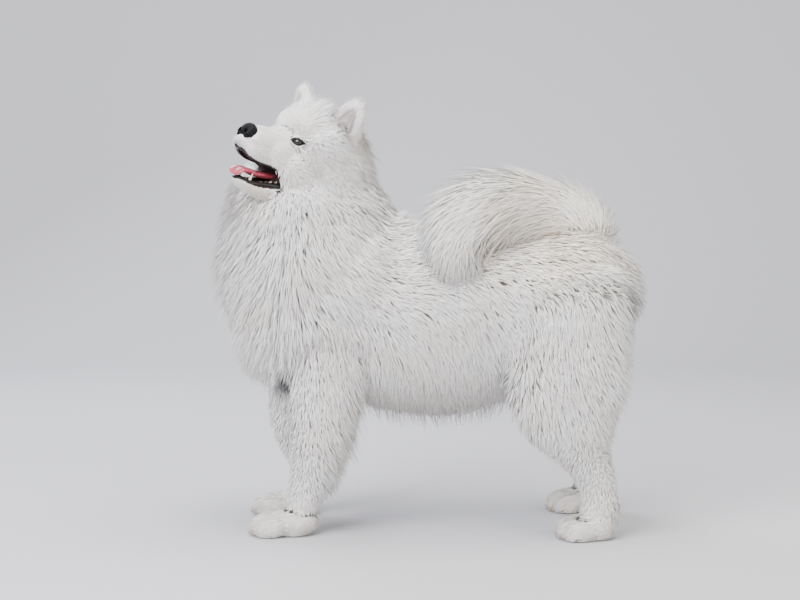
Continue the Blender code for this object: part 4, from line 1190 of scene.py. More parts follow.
def grown(rng, root, normal, fields, seed, sizes):
    """Tufts that grow from their roots: their paths, how high they lie and their width."""
    count = len(root)
    way, stand, height, length, width = (fields[:, k] for k in (WAY, STAND, HEIGHT, LENGTH, WIDTH))
    swing = 0.30 * strand_noise(root, 0.030, seed + 3) + 0.16 * strand_noise(root, 0.010, seed + 5)
    swing = swing + rng.normal(0, 1, count) * (0.12 + 0.10 * fields[:, HUG])
    flat = way - normal * (way * normal).sum(1)[:, None]
    strength = np.linalg.norm(flat, axis=1)
    flat = unit(flat)
    across = np.cross(flat, normal)
    flat = unit(flat * np.cos(swing)[:, None] + across * np.sin(swing)[:, None])
    length = length * rng.uniform(0.78, 1.15, count)
    tall = height * rng.uniform(0.86, 1.03, count) * (1 + 0.06 * strand_noise(root, 0.03, seed + 9))
    tall = np.where(rng.random(count) < 0.2, 0.8 * tall, tall)
    wisp = rng.random(count) < 0.08 + 0.10 * fields[:, WISPS]
    loose = 1 - fields[:, HUG]  # hanging fringe, whose single hairs are much longer
    length = np.where(wisp, length * (1.15 + 0.9 * loose + 0.6 * fields[:, WISPS]), length)
    tall = np.where(wisp, tall * (1.08 + 0.5 * loose) + 0.009 * fields[:, WISPS], tall)
    steep = np.arcsin(np.clip(1.15 * tall / length + 0.25 * (1 - np.clip(strength / 0.6, 0, 1)), 0.12, 0.92))
    fall = steep * (0.25 + 0.65 * stand)
    width = np.where(wisp, width * 0.45, width) * rng.uniform(0.8, 1.2, count) * sizes.tuft_width
    start = flat * np.cos(steep)[:, None] + normal * np.sin(steep)[:, None]
    end = flat * np.cos(fall)[:, None] + normal * np.sin(fall)[:, None]
    drop = np.clip(length / 0.10, 0, 1.2)[:, None] * np.array([0, 0, -1.0])
    p0 = root - normal * np.minimum(0.0015, 0.25 * height)[:, None]
    p1 = root + start * (0.5 * length)[:, None]
    p2 = p1 + unit(end + 0.30 * drop) * (0.5 * length)[:, None]
    gather_locks(rng, root, normal, length, p1, p2, sizes.tufts_in_lock)
    return p0, p1, p2, tall, width


def gather_locks(rng, root, normal, length, p1, p2, tufts_in_lock):
    """Leans neighbouring tufts to a common lock."""
    count = len(root)
    centres = rng.choice(count, max(1, count // tufts_in_lock), replace=False)
    tree = KDTree(len(centres))
    for k, i in enumerate(centres):
        tree.insert(root[i], k)
    tree.balance()
    lock = centres[np.array([tree.find(r)[1] for r in root])]
    pull = (rng.uniform(0.04, 0.30, count) * np.clip(length / 0.03, 0.3, 1))[:, None]
    same = (normal * normal[lock]).sum(1) > 0.75
    pull = np.where(same[:, None], pull, 0)
    p2[:] = p2 + pull * (p2[lock] - p2)
    p1[:] = p1 + 0.35 * pull * (p1[lock] - p1)


def tuft_marks(rng, at, root, parts, seed):
    """The colours that are kept for each tuft, with painted shade on the belly and the low flanks."""
    count = len(root)
    shown = {key: at(values) for key, values in made["skin"]["marks"].items()}
    # painted shade: tufts low on the trunk are greyed, as if the belly and low flanks lay in shadow
    painted_belly_shade = 0.50 * band(root[:, 2], 0.12, 0.30, 0.07) * band(root[:, 1], -0.12, 0.22, 0.06)
    painted_belly_shade = painted_belly_shade * ("trunk" in parts)
    uneven = rng.normal(0.03, 0.04, count) + 0.04 * strand_noise(root, 0.03, seed + 7)
    shown["shade"] = np.clip(uneven + painted_belly_shade, 0, 0.5)
    if "head" in parts or "neck" in parts:  # single grey hairs on the cheeks
        cheek = blob(carried(HEAD_PLACE.inverted(), root), (0.05, 0.15, -0.07), 0.09)
        shown["grey"] = np.where(rng.random(count) < 0.05 * cheek, 0.8, shown["grey"])
    return shown


def coat_piece(name, parts, share, material, sizes, side=None, seed=1):
    """Tufts over some parts of the skin, in as many pieces as PIECE_TRIANGLES needs."""
    skin = made["skin"]
    rng = np.random.default_rng(SEED * 100 + seed)
    at, part = scattered(rng, parts, side, share)
    root, normal, fields = at(skin["points"]), unit(at(skin["normals"])), at(skin["fields"])
    p0, p1, p2, tall, width = grown(rng, root, normal, fields, seed, sizes)
    near = skin["tail_tree"] if "tail" in parts else skin["body_tree"]
    hug = np.clip(fields[:, HUG], 0, 1)
    crest = ramp(normal[:, 2], 0.1, 0.7)  # hair lies flat on the back and the crown
    p1, _ = hugging(near, p1, (0.85 + 0.19 * hug - 0.35 * fields[:, STAND] * (1 - crest)) * tall, hug)
    p2, soft = hugging(near, p2, (1 - 0.12 * crest) * tall, hug)
    alive = np.ones(len(root), bool)
    if "head" in parts or "neck" in parts:
        alive = clear_of_face(p0, p1, p2, root)
    low = np.minimum(p1[:, 2], p2[:, 2])
    lift = np.maximum(0.0015 - low, 0)[:, None] * np.array([0, 0, 1.0])
    p1, p2 = p1 + lift, p2 + lift
    tangent = unit(p2 - p0)
    over = unit(np.cross(tangent, normal))
    roll = rng.normal(0, 0.30, len(root))[:, None]
    up = np.cross(over, tangent)
    over, up = over * np.cos(roll) + up * np.sin(roll), up * np.cos(roll) - over * np.sin(roll)
    shown = tuft_marks(rng, at, root, parts, seed)
    points, facing = tuft_points((p0, p1, p2), over, up, width, soft)
    uv = unwrapped(parts, part, skin["names"], root)
    alive = np.flatnonzero(alive)
    triangles = len(alive) * TUFT_TRIANGLES
    pieces = max(1, math.ceil(triangles / PIECE_TRIANGLES))
    for k, chosen in enumerate(np.array_split(alive, pieces)):
        label = name if pieces == 1 else f"{name}_{k + 1}"
        marks = {key: values[chosen] for key, values in shown.items()}
        dressed(tuft_mesh(label, points[chosen], facing[chosen], uv[chosen], marks, material), "coat")
    made["triangles"] = made.get("triangles", 0) + triangles
    print(f"{name}: {len(alive)} tufts, {triangles} triangles in {pieces}")


def hugging(tree, points, height, share):
    """Draws points towards a height over the skin, as the body curves, and gives the way up there."""
    found = [tree.find_nearest(p)[0] for p in points]
    near = np.array([tuple(f) for f in found])
    away = unit(points - near)
    drawn = near + away * height[:, None]
    return points + share[:, None] * (drawn - points), away


def clear_of_face(p0, p1, p2, root):
    """Shortens the hair that would cross an eye, the nose or the lips. False where none is left."""
    zones = keep_out_zones()
    lips = carried(HEAD_PLACE, smooth_rows(LIP_LINE, 6))
    mirror = carried(HEAD_PLACE, smooth_rows([(-x, y, z) for x, y, z in LIP_LINE], 6))
    lips = np.vstack([lips, mirror])
    scale = np.ones(len(root))
    alive = np.zeros(len(root), bool)
    own = carried(HEAD_PLACE.inverted(), root)
    near_lips = np.flatnonzero((own[:, 1] < 0.15) & (own[:, 2] < 0.02) & (own[:, 2] > -0.14))
    for share in (1.0, 0.75, 0.55, 0.4):
        bad = np.zeros(len(root), bool)
        for s in (0.05, 0.5, 1.0):
            t = s * share
            point = (1 - t) ** 2 * p0 + 2 * t * (1 - t) * p1 + t * t * p2
            for zone in zones:
                bad |= np.linalg.norm(carried(zone, point), axis=1) < 1
            gap = np.linalg.norm(point[near_lips, None] - lips[None], axis=2).min(1)
            bad[near_lips] |= gap < (0.0036 if s > 0.1 else 0.0034)
        fresh = ~bad & ~alive
        scale[fresh] = share
        alive |= fresh
    short = scale[:, None]
    mid = (1 - short) * p0 + short * p1
    end = (1 - short) ** 2 * p0 + 2 * short * (1 - short) * p1 + short ** 2 * p2
    p1[:], p2[:] = mid, end
    return alive


def unwrapped(parts, part, names, root):
    """Where each root lies on an unwrap of its own part: angle round it and share along it."""
    uv = np.zeros((len(root), 2))
    for k in np.unique(part):
        mine = part == k
        along, angle, _ = nearest_axis(rows_of(names[k]), root[mine])
        uv[mine] = np.stack([angle / (2 * math.pi) + 0.5, along], 1)
        if len(parts) > 1:
            slot_width = 1 / len(parts)
            order = sorted(parts).index(names[k])
            uv[mine, 0] = (order + uv[mine, 0]) * slot_width
    return TUFT_PATCH + uv * (1 - 2 * TUFT_PATCH)


# Groups of like things by Geometry Nodes
def node_group(name, inputs):
    """A new tree with named inputs beside its geometry, and its input and output nodes."""
    tree = bpy.data.node_groups.new(name, "GeometryNodeTree")
    tree.interface.new_socket("Geometry", in_out="INPUT", socket_type="NodeSocketGeometry")
    for label, kind, value in inputs:
        socket = tree.interface.new_socket(label, in_out="INPUT", socket_type=kind)
        if value is not None:
            socket.default_value = value
    tree.interface.new_socket("Geometry", in_out="OUTPUT", socket_type="NodeSocketGeometry")
    return tree, tree.nodes.new("NodeGroupInput"), tree.nodes.new("NodeGroupOutput")


def set_on_points(name, points, aims, scales, tree, values, material):
    """Runs a tree on points with their aims and scales, and returns what it makes as a plain mesh."""
    base = piece(name, points, [], material)
    aimed_at = base.data.attributes.new("aim", "FLOAT_VECTOR", "POINT")
    aimed_at.data.foreach_set("vector", np.asarray(aims, np.float32).ravel())
    mark(base.data, "scale", scales)
    change = base.modifiers.new("grown", "NODES")
    change.node_group = tree
    by_name = {item.name: item.identifier for item in tree.interface.items_tree if item.in_out == "INPUT"}
    for label, value in values.items():
        change[by_name[label]] = value
    obj = applied(base)
    if not len(obj.data.polygons):
        raise RuntimeError(f"{name} has no faces")
    if not obj.data.materials:
        obj.data.materials.append(material)
    obj.data.transform(TO_ROW)
    obj.data.shade_smooth()
    return obj


def horn_tree(name, sides, steps):
    """A tapered, bent horn on each point: the form of whiskers, claws and canine teeth."""
    tree, start, end = node_group(name, (
        ("Length", "NodeSocketFloat", 0.01), ("Root radius", "NodeSocketFloat", 0.002),
        ("Tip radius", "NodeSocketFloat", 0.0003), ("Bend", "NodeSocketFloat", 0.2),
        ("Material", "NodeSocketMaterial", None)))
    length, bend = start.outputs["Length"], start.outputs["Bend"]
    cone = add_node(tree, "GeometryNodeMeshCone", {
        "Vertices": sides, "Side Segments": steps, "Radius Top": start.outputs["Tip radius"],
        "Radius Bottom": start.outputs["Root radius"], "Depth": length})
    at = add_node(tree, "GeometryNodeInputPosition")
    split = add_node(tree, "ShaderNodeSeparateXYZ", {0: at})
    share = add_node(tree, "ShaderNodeMath", {0: split.outputs["Z"], 1: length}, operation="DIVIDE")
    square = add_node(tree, "ShaderNodeMath", {0: share, 1: share}, operation="MULTIPLY")
    bent = add_node(tree, "ShaderNodeMath", {0: square, 1: bend}, operation="MULTIPLY")
    off = add_node(tree, "ShaderNodeMath", {0: bent, 1: length}, operation="MULTIPLY")
    moved = add_node(tree, "ShaderNodeCombineXYZ", {0: off})
    horn = add_node(tree, "GeometryNodeSetPosition", {"Geometry": cone.outputs["Mesh"], "Offset": moved})
    aim = add_node(tree, "GeometryNodeInputNamedAttribute", {"Name": "aim"}, data_type="FLOAT_VECTOR")
    size = add_node(tree, "GeometryNodeInputNamedAttribute", {"Name": "scale"}, data_type="FLOAT")
    turned = add_node(tree, "FunctionNodeAlignRotationToVector", {"Vector": aim}, axis="Z")
    stuck = add_node(tree, "GeometryNodeInstanceOnPoints", {
        "Points": start.outputs["Geometry"], "Instance": horn, "Rotation": turned, "Scale": size})
    real = add_node(tree, "GeometryNodeRealizeInstances", {0: stuck})
    done = add_node(tree, "GeometryNodeSetMaterial", {
        "Geometry": real, "Material": start.outputs["Material"]})
    tree.links.new(done.outputs[0], end.inputs[0])
    return tree


# What a user may change
def colour_setting(name, text, hex_colour):
    """A colour that the panel shows."""
    return bpy.props.FloatVectorProperty(name=name, description=text, subtype="COLOR", size=3, min=0, max=1,
                                         default=linear(hex_colour))


class SamoyedSizes(bpy.types.PropertyGroup):
    """The sizes that a user may change."""

    skin_depth: bpy.props.FloatProperty(
        name="Skin depth", description="Share of the coat's depth by which the skin lies inside the solids",
        default=0.85, min=0.4, max=1.0, subtype="FACTOR")
    tuft_width: bpy.props.FloatProperty(
        name="Tuft width", description="Width of every tuft against its usual width",
        default=1.0, min=0.3, max=2.0, subtype="FACTOR")
    tufts_in_lock: bpy.props.IntProperty(
        name="Tufts in a lock", description="How many neighbouring tufts lean to one tip",
        default=18, min=2, max=200)
    whisker_length: bpy.props.FloatProperty(
        name="Whisker length", description="Length of the longest whisker",
        default=0.052, min=0.01, max=0.12, unit="LENGTH")
    claw_length: bpy.props.FloatProperty(
        name="Claw length", description="Length of a claw from its bed",
        default=0.0105, min=0.004, max=0.03, unit="LENGTH")
    floor_size: bpy.props.FloatProperty(
        name="Floor size", description="Length of each side of the floor",
        default=14.0, min=2.0, max=40.0, unit="LENGTH")


class SamoyedColours(bpy.types.PropertyGroup):
    """The colours that a user may change."""

    coat_white: colour_setting("Coat white", "Main colour of the coat", "#FCFBFA")
    coat_cream: colour_setting("Coat cream", "Warm tint on the back, belly and feet", "#F0E4CC")
    # painted shade deep in the coat, and also the tone of the fine streaks along each tuft
    coat_root_shade_and_streak: colour_setting("Coat root", "Tone deep in the coat", "#E2D8CA")
    # also the colour of the painted shade on the belly and the low flanks
    coat_grey_and_painted_shade: colour_setting("Coat grey", "Grey of the whisker bed and of single hairs", "#A39C9C")
    coat_stain: colour_setting("Coat stain", "Reddish tint round the claws", "#A4603C")
    ear_skin: colour_setting("Ear skin", "Bare skin inside the ear", "#B9A29C")
    # the mouth's lining, darkened with painted shade
    mouth_lining_and_shade: colour_setting("Mouth lining", "Dark inside of the mouth", "#2A1214")
    nose: colour_setting("Nose", "Nose leather", "#0C0B0D")
    lips: colour_setting("Lips", "Lips and the rims of the eyes", "#110E0F")
    tongue: colour_setting("Tongue", "Top of the tongue", "#B9465C")
    tongue_pale: colour_setting("Tongue, pale", "Pale mottling of the tongue", "#D07888")
    # the tongue's colour inside the mouth, darkened as painted shade
    tongue_root_in_shade: colour_setting("Tongue root", "Tongue inside the mouth", "#8E2F38")
    iris: colour_setting("Iris", "Iris of the eye", "#26130B")
    tooth: colour_setting("Tooth", "Ivory of the teeth", "#E9E0CB")
    claw: colour_setting("Claw", "Horn of the claws", "#B08F80")
    pad: colour_setting("Pad", "Skin under the feet", "#2B2424")
    floor: colour_setting("Floor", "Floor and backdrop", "#CBCBCE")


# Operators
class SAMOYED_OT_skin(bpy.types.Operator):
    """Build the one skin that the coat grows from"""

    bl_idname = "samoyed.skin"
    bl_label = "Skin"

    def execute(self, context):
        sizes, colours = context.scene.samoyed_sizes, context.scene.samoyed_colours
        skin, forms = make_skin_mesh(sizes)
        measure_skin(skin, forms)
        skin.data.materials.clear()
        skin.data.materials.append(skin_material(colours))
        skin.data.shade_smooth()
        skin.data.transform(TO_ROW)
        flesh = [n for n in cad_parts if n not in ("nose", "tongue", "eye_left", "eye_right")]
        dressed(skin, "coat", *flesh)
        print(f"skin: {sum(len(p.vertices) - 2 for p in skin.data.polygons)} triangles")
        return {"FINISHED"}


class SAMOYED_OT_eyes(bpy.types.Operator):
    """Build the eyeballs and the dark rims of their lids"""

    bl_idname = "samoyed.eyes"
    bl_label = "Eyes"

    def execute(self, context):
        colours = context.scene.samoyed_colours
        wet = eye_material(colours)
        rims = leather_material("eyelid_rim", colours.lips, 0.0009, 0.0002, 0.35, 0.3)
        for word, side in SIDES:
            dressed(self.eyeball(word, side, wet), "eye", f"eye_{word}")
            dressed(self.rim(word, side, rims), "lip_leather")
        return {"FINISHED"}

    def eyeball(self, word, side, material):
        """An eyeball with its cornea, and how far each point lies from its gaze."""
        rings, sides, cornea = 40, 48, 0.0009
        points, gaze = [(0, -EYE_RADIUS - cornea, 0)], [0.0]
        for r in range(1, rings):
            a = math.pi * r / rings
            radius = EYE_RADIUS + cornea * math.exp(-(a / 0.55) ** 4)
            for b in np.linspace(0, 2 * math.pi, sides, endpoint=False):
                across = radius * math.sin(a)
                points.append((across * math.cos(b), -radius * math.cos(a), across * math.sin(b)))
                gaze.append(a / math.pi)
        points.append((0, EYE_RADIUS, 0))
        gaze.append(1.0)
        faces = [face[::-1] for face in ball_faces(rings, sides)]
        obj = piece(f"eyeball_{word}", carried(TO_ROW @ eye_place(side), points), faces, material)
        mark(obj.data, "gaze", gaze)
        return obj

    def rim(self, word, side, material):
        """The dark bare edge of the lids, drawn out to a point at both corners."""
        count, sides = 96, 10
        sphere = EYE_RADIUS + LID_THICKNESS * 0.75
        points = []
        for k, (x, z) in enumerate(almond(count, 0.0004)):
            a = 2 * math.pi * k / count
            inner, outer = max(0.0, -math.cos(a)) ** 10, max(0.0, math.cos(a)) ** 14
            x = x - 0.0034 * inner + 0.0024 * outer
            z = z - 0.0007 * inner
            reach = math.sqrt(sphere ** 2 - min(x * x + z * z, 0.9 * EYE_RADIUS ** 2))
            here = Vector((x, -reach, z))
            away = (here.normalized() + Vector((0, -1, 0))).normalized()
            over = Vector((math.cos(a) / EYE_HALF_WIDTH, 0, math.sin(a) / EYE_UPPER))
            over = (over - away * over.dot(away)).normalized()
            wide = 0.0019 + 0.0004 * max(math.sin(a), 0) + 0.0004 * inner
            for b in np.linspace(0, 2 * math.pi, sides, endpoint=False):
                points.append(here + over * (wide * math.cos(b)) + away * (0.0010 * math.sin(b)))
        points = [tuple(TO_ROW @ eye_place(side) @ p) for p in points]
        obj = piece(f"eye_rim_{word}", points, loop_faces(count, sides), material)
        outward(obj)
        return obj


def outward(obj):
    """Turns every face of a closed body outwards."""
    bm = bmesh.new()
    bm.from_mesh(obj.data)
    bmesh.ops.recalc_face_normals(bm, faces=bm.faces)
    bm.to_mesh(obj.data)
    bm.free()


NOSTRIL = (
    (0.0075, -0.006, 0.0030, 0.0036, 0.0040),
    (0.0085, 0.004, 0.0030, 0.0038, 0.0036),
    (0.0070, 0.014, 0.0050, 0.0030, 0.0028),
)
NOSTRIL_SLIT = (  # from the nostril round the nose's side
    (0.0080, -0.004, 0.0010, 0.0020, 0.0016),
    (0.0130, 0.000, -0.0022, 0.0018, 0.0013),
    (0.0190, 0.007, -0.0030, 0.0016, 0.0009),
)
NOSE_GROOVE = (
    (0, -0.0035, 0.009, 0.0009, 0.0016),
    (0, -0.0030, -0.002, 0.0010, 0.0022),
    (0, -0.0005, -0.020, 0.0010, 0.0020),
)


class SAMOYED_OT_nose(bpy.types.Operator):
    """Build the nose with its nostrils"""

    bl_idname = "samoyed.nose"
    bl_label = "Nose"

    def execute(self, context):
        colours = context.scene.samoyed_colours
        forms = [ellipsoid((0, 0.013, 0.004), (0.0182, 0.0135, 0.0148), rings=20, sides=32),
                 ellipsoid((0.0098, 0.0085, -0.0005), (0.0092, 0.0088, 0.0108)),
                 ellipsoid((-0.0098, 0.0085, -0.0005), (0.0092, 0.0088, 0.0108)),
                 ellipsoid((0, 0.010, -0.010), (0.0050, 0.0090, 0.0085))]
        points, faces = gathered(forms)
        nose = remeshed(piece("nose_leather", carried(NOSE_PLACE, points), faces), 0.0006, 6)
        for _, side in SIDES:
            for rows, sides in ((NOSTRIL, 20), (NOSTRIL_SLIT, 16)):
                shape = tube([(side * x, *rest) for x, *rest in rows], sides)
                placed_cut(nose, NOSE_PLACE, shape, "DIFFERENCE")
        placed_cut(nose, NOSE_PLACE, tube(NOSE_GROOVE, 12), "DIFFERENCE")
        remeshed(nose, 0.00055, 4)
        nose.data.materials.clear()
        leather = leather_material("nose_leather", colours.nose, 0.0013, 0.0004, 0.50, 0.04)
        nose.data.materials.append(leather)
        nose.data.shade_smooth()
        nose.data.transform(TO_ROW)
        dressed(nose, "nose_leather", "nose")
        return {"FINISHED"}


TONGUE = (  # x, y, z, half width, half thickness
    (0, 0.112, -0.047, 0.0120, 0.0050),
    (0, 0.085, -0.054, 0.0165, 0.0058),
    (0, 0.060, -0.0580, 0.0190, 0.0058),
    (0, 0.043, -0.0585, 0.0210, 0.0052),
    (0, 0.0315, -0.0625, 0.0210, 0.0046),
    (0, 0.0265, -0.0690, 0.0170, 0.0038),
    (0, 0.0255, -0.0740, 0.0095, 0.0030),
)
CANINE = (0.0172, 0.050, -0.072)
CHEEK_TEETH = (  # x, y, z, size
    (0.0225, 0.080, -0.0700, 0.62),
    (0.0240, 0.089, -0.0665, 0.72),
    (0.0255, 0.099, -0.0625, 0.70),
    (0.0215, 0.071, -0.0715, 0.45),
)
INCISORS_X = (0.0026, 0.0075, 0.0115)


class SAMOYED_OT_mouth(bpy.types.Operator):
    """Build the lips, the tongue and the teeth"""

    bl_idname = "samoyed.mouth"
    bl_label = "Lips, tongue and teeth"

    def execute(self, context):
        colours = context.scene.samoyed_colours
        dressed(self.lips(colours), "lip_leather")
        dressed(self.tongue(colours), "tongue", "tongue")
        dressed(self.teeth(colours), "tooth")
        return {"FINISHED"}

    def lips(self, colours):
        """One dark lip round the whole mouth, widest at the corners, lying on the edge of the skin."""
        half = smooth_rows(LIP_LINE, 10)
        loop = np.vstack([half, (half * (-1, 1, 1))[-2:0:-1]])
        tree = made["skin"]["tree"]
        seated = []
        for point in loop:
            found = tree.find_nearest(HEAD_PLACE @ Vector(point))
            seated.append(found[0].lerp(HEAD_PLACE @ Vector(point), 0.25))
        seated = np.array([tuple(p) for p in seated])
        for _ in range(4):
            seated = 0.5 * seated + 0.25 * (np.roll(seated, 1, 0) + np.roll(seated, -1, 0))
        normals = np.array([tuple(tree.find_nearest(Vector(p))[1]) for p in seated])
        for _ in range(6):
            normals = unit(0.5 * normals + 0.25 * (np.roll(normals, 1, 0) + np.roll(normals, -1, 0)))
        ahead = unit(np.roll(seated, -1, 0) - np.roll(seated, 1, 0))
        over = unit(np.cross(ahead, normals))
        away = np.cross(over, ahead)
        corner = ramp(loop[:, 1], 0.085, 0.108)
        lower = ramp(-loop[:, 2], 0.055, 0.065)
        front = 1 - ramp(loop[:, 1], 0.030, 0.060)
        width = 0.0034 + 0.0018 * corner + 0.0008 * lower + 0.0006 * front * (1 - lower)
        width = width + 0.0005 * lower * np.sin(loop[:, 1] * 420)
        thick = 0.0026 + 0.0008 * corner
        sides, count = 12, len(loop)
        points = []
        for k in range(count):
            for b in np.linspace(0, 2 * math.pi, sides, endpoint=False):
                points.append(seated[k] + over[k] * width[k] * math.cos(b)
                              + away[k] * thick[k] * math.sin(b))
        material = leather_material("lip_leather", colours.lips, 0.0011, 0.0002, 0.28, 0.45)
        obj = piece("lips", carried(TO_ROW, points), loop_faces(count, sides), material)
        outward(obj)
        return obj

    def tongue(self, colours):
        """The tongue over the lower lip, with a groove along it and a light wave at its edges."""
        rows = smooth_rows(TONGUE, 8)
        ahead, across, depth = frames_along(rows[:, :3])
        upward = np.where((depth[:, 2] < 0)[:, None], -depth, depth)
        sides = 32
        angles = np.linspace(0, 2 * math.pi, sides, endpoint=False)
        points, rooted = [], []
        for k, row in enumerate(rows):
            for a in angles:
                c, s = math.cos(a), math.sin(a)
                groove = 0.45 * math.exp(-(c / 0.16) ** 2) * max(s, 0)
                curl = 0.22 * c * c * row[3] * 0.35
                wave = 0.0007 * math.sin(9 * k / len(rows) * math.pi + 2 * c) * abs(c) ** 3
                rise = row[4] * (s - groove) + curl + wave
                points.append(row[:3] + across[k] * row[3] * c + upward[k] * rise)
                # share of the tongue's painted shade, growing towards its root
                rooted.append(ramp(np.array([row[1]]), 0.040, 0.095)[0])
        faces = tube_faces(len(rows), sides)
        obj = piece("tongue_body", carried(TO_ROW @ HEAD_PLACE, points), faces, tongue_material(colours))
        mark(obj.data, "root", rooted)
        outward(obj)
        change = obj.modifiers.new("smooth", "SUBSURF")
        change.levels = change.render_levels = 1
        applied(obj).data.shade_smooth()
        return obj

    def teeth(self, colours):
        """Lower canines, cheek teeth and incisors. Each is a bent horn or three low cusps in a row."""
        points, aims, scales = [], [], []

        def set_tooth(x, y, z, aim, size):
            points.append(HEAD_PLACE @ Vector((x, y, z)))
            aims.append(HEAD_TURN.to_3x3() @ Vector(aim).normalized())
            scales.append(size)

        for _, side in SIDES:
            set_tooth(side * CANINE[0], *CANINE[1:], (side * 0.25, -0.10, 1), 1.0)
            for x, y, z, size in CHEEK_TEETH:
                set_tooth(side * x, y - 0.0022, z, (side * 0.1, -0.15, 1), size * 0.65)
                set_tooth(side * x, y + 0.0024, z, (side * 0.1, 0.15, 1), size * 0.6)
                set_tooth(side * x, y, z, (side * 0.1, 0, 1), size * 0.85)
            for x in INCISORS_X:
                set_tooth(side * x, 0.0405 + 40 * x * x, -0.0745, (0, -0.1, 1), 0.30)
        ivory = hard_material("ivory", colours.tooth, linear("#D8C9A6"), 0.25, (1, 1, 0.3))
        tree = horn_tree("tooth_form", 10, 6)
        return set_on_points("teeth", [tuple(p) for p in points], [tuple(a) for a in aims], scales, tree, {
            "Length": 0.0135, "Root radius": 0.0031, "Tip radius": 0.0006, "Bend": 0.14,
            "Material": ivory}, ivory)


class SAMOYED_OT_feet(bpy.types.Operator):
    """Build the claws and the pads of the four feet"""

    bl_idname = "samoyed.feet"
    bl_label = "Claws and pads"

    def execute(self, context):
        sizes, colours = context.scene.samoyed_sizes, context.scene.samoyed_colours
        horn = hard_material("claw_horn", colours.claw, linear("#7D6157"), 0.38, (1, 0.3, 1))
        rough = leather_material("paw_pad", colours.pad, 0.0016, 0.0006, 0.6, 0.0)
        tree = horn_tree("claw_form", 10, 8)
        pads = []
        for name, _, x, y, half in paw_places():
            toes = [(x + across, y - half + 0.030 - lead) for across, lead in zip(TOE_SPREAD, TOE_LEAD)]
            points = [(toe_x, toe_y - 0.0195, 0.0105) for toe_x, toe_y in toes]
            aims = [(across * 4, -1, -0.75) for across in TOE_SPREAD]
            claws = set_on_points(f"claws_{name}", points, aims, [1.0] * len(toes), tree, {
                "Length": sizes.claw_length, "Root radius": 0.0024, "Tip radius": 0.0005, "Bend": -0.18,
                "Material": horn}, horn)
            dressed(claws, "claw")
            for across, lead in zip(TOE_SPREAD, TOE_LEAD):
                toe = (x + across, y - half + 0.026 - lead, 0.0052)
                pads.append(ellipsoid(toe, (0.0096, 0.0135, 0.0052), rings=10, sides=16))
            pads.append(ellipsoid((x, y + 0.006, 0.0055), (0.0215, 0.0165, 0.0055), rings=12, sides=20))
        points, faces = gathered(pads)
        obj = piece("paw_pads", carried(TO_ROW, points), faces, rough)
        dressed(obj, "paw_pad")
        return {"FINISHED"}


class SAMOYED_OT_whiskers(bpy.types.Operator):
    """Grow the whiskers and the dark roots that they stand on"""

    bl_idname = "samoyed.whiskers"
    bl_label = "Whiskers"

    def execute(self, context):
        sizes, colours = context.scene.samoyed_sizes, context.scene.samoyed_colours
        rng = np.random.default_rng(SEED)
        tree = made["skin"]["tree"]
        roots, aims, scales, dots = [], [], [], []
        for _, side in SIDES:
            for row in range(4):
                for k in range(6):
                    local = Vector((side * (0.030 + 0.001 * k), 0.026 + 0.0075 * k + 0.002 * row,
                                    -0.008 - 0.0065 * row + rng.uniform(-0.001, 0.001)))
                    found = tree.find_nearest(HEAD_PLACE @ local)
                    dots.append((found[0], found[1]))
                    if (row + k) % 2 == 0 and row < 3:
                        way = HEAD_TURN.to_3x3() @ Vector((side * 0.9, 0.75 - 0.1 * k, -0.22 + 0.05 * row))
                        roots.append(found[0])
                        aims.append((way + found[1] * 0.6).normalized())
                        scales.append(rng.uniform(0.45, 1.0))
            for x, y, z in ((0.020, 0.108, 0.062), (0.025, 0.106, 0.060)):  # over the eye
                found = tree.find_nearest(HEAD_PLACE @ Vector((side * x, y, z)))
                roots.append(found[0])
                aims.append((HEAD_TURN.to_3x3() @ Vector((side * 0.2, 0.25, 1.0))).normalized())
                scales.append(rng.uniform(0.4, 0.6))
        clear = hard_material("whisker_keratin", linear("#EDEAE6"), linear("#CFC9C2"), 0.35, (1, 1, 1))
        form = horn_tree("whisker_form", 5, 6)
        obj = set_on_points("whiskers", [tuple(r) for r in roots], [tuple(a) for a in aims], scales, form, {
            "Length": sizes.whisker_length, "Root radius": 0.00045, "Tip radius": 0.0001, "Bend": 0.16,
            "Material": clear}, clear)
        dressed(obj, "coat")
        dark = leather_material("whisker_root", linear("#857C7C"), 0.0006, 0.0001, 0.6, 0.0)
        shapes = []
        for at, normal in dots:
            points, faces = ellipsoid((0, 0, 0), (0.0007, 0.0007, 0.0006), rings=6, sides=8)
            away = normal.to_track_quat("Z", "Y").to_matrix().to_4x4()
            shapes.append((carried(Matrix.Translation(at + normal * 0.0019) @ away, points), faces))
        points, faces = gathered(shapes)
        dressed(piece("whisker_roots", carried(TO_ROW, points), faces, dark), "coat")
        return {"FINISHED"}


COAT_GROUPS = {
    "head": (("face", ("head", "jaw")), ("ear_left", ("ear_left",)), ("ear_right", ("ear_right",))),
    "neck": (("ruff", ("neck",)),),
    "trunk": (("trunk", ("trunk",)),),
    "legs": tuple((f"{leg}_{word}", (f"{leg}_{word}",))
                  for leg in ("foreleg", "hindleg", "forepaw", "hindpaw") for word, _ in SIDES),
    "tail": (("tail", ("tail",)),),
}
COAT_HALVES = ("face", "ruff", "trunk")  # grown as a left and a right piece


class SAMOYED_OT_coat(bpy.types.Operator):
    """Grow the coat of one part of the body"""

    bl_idname = "samoyed.coat"
    bl_label = "Coat"
    part: bpy.props.StringProperty(name="Part", description="Which part of the coat to grow", default="head")

    def execute(self, context):
        sizes, colours = context.scene.samoyed_sizes, context.scene.samoyed_colours
        hair = bpy.data.materials.get("guard_hair") or coat_material(colours)
        share = 1.0
        for k, (name, parts) in enumerate(COAT_GROUPS[self.part]):
            if name in COAT_HALVES:
                for word, side in SIDES:
                    coat_piece(f"coat_{name}_{word}", parts, share, hair, sizes, side, 10 + k + 2 * side)
            else:
                coat_piece(f"coat_{name}", parts, share, hair, sizes, None, 30 + k)
        return {"FINISHED"}


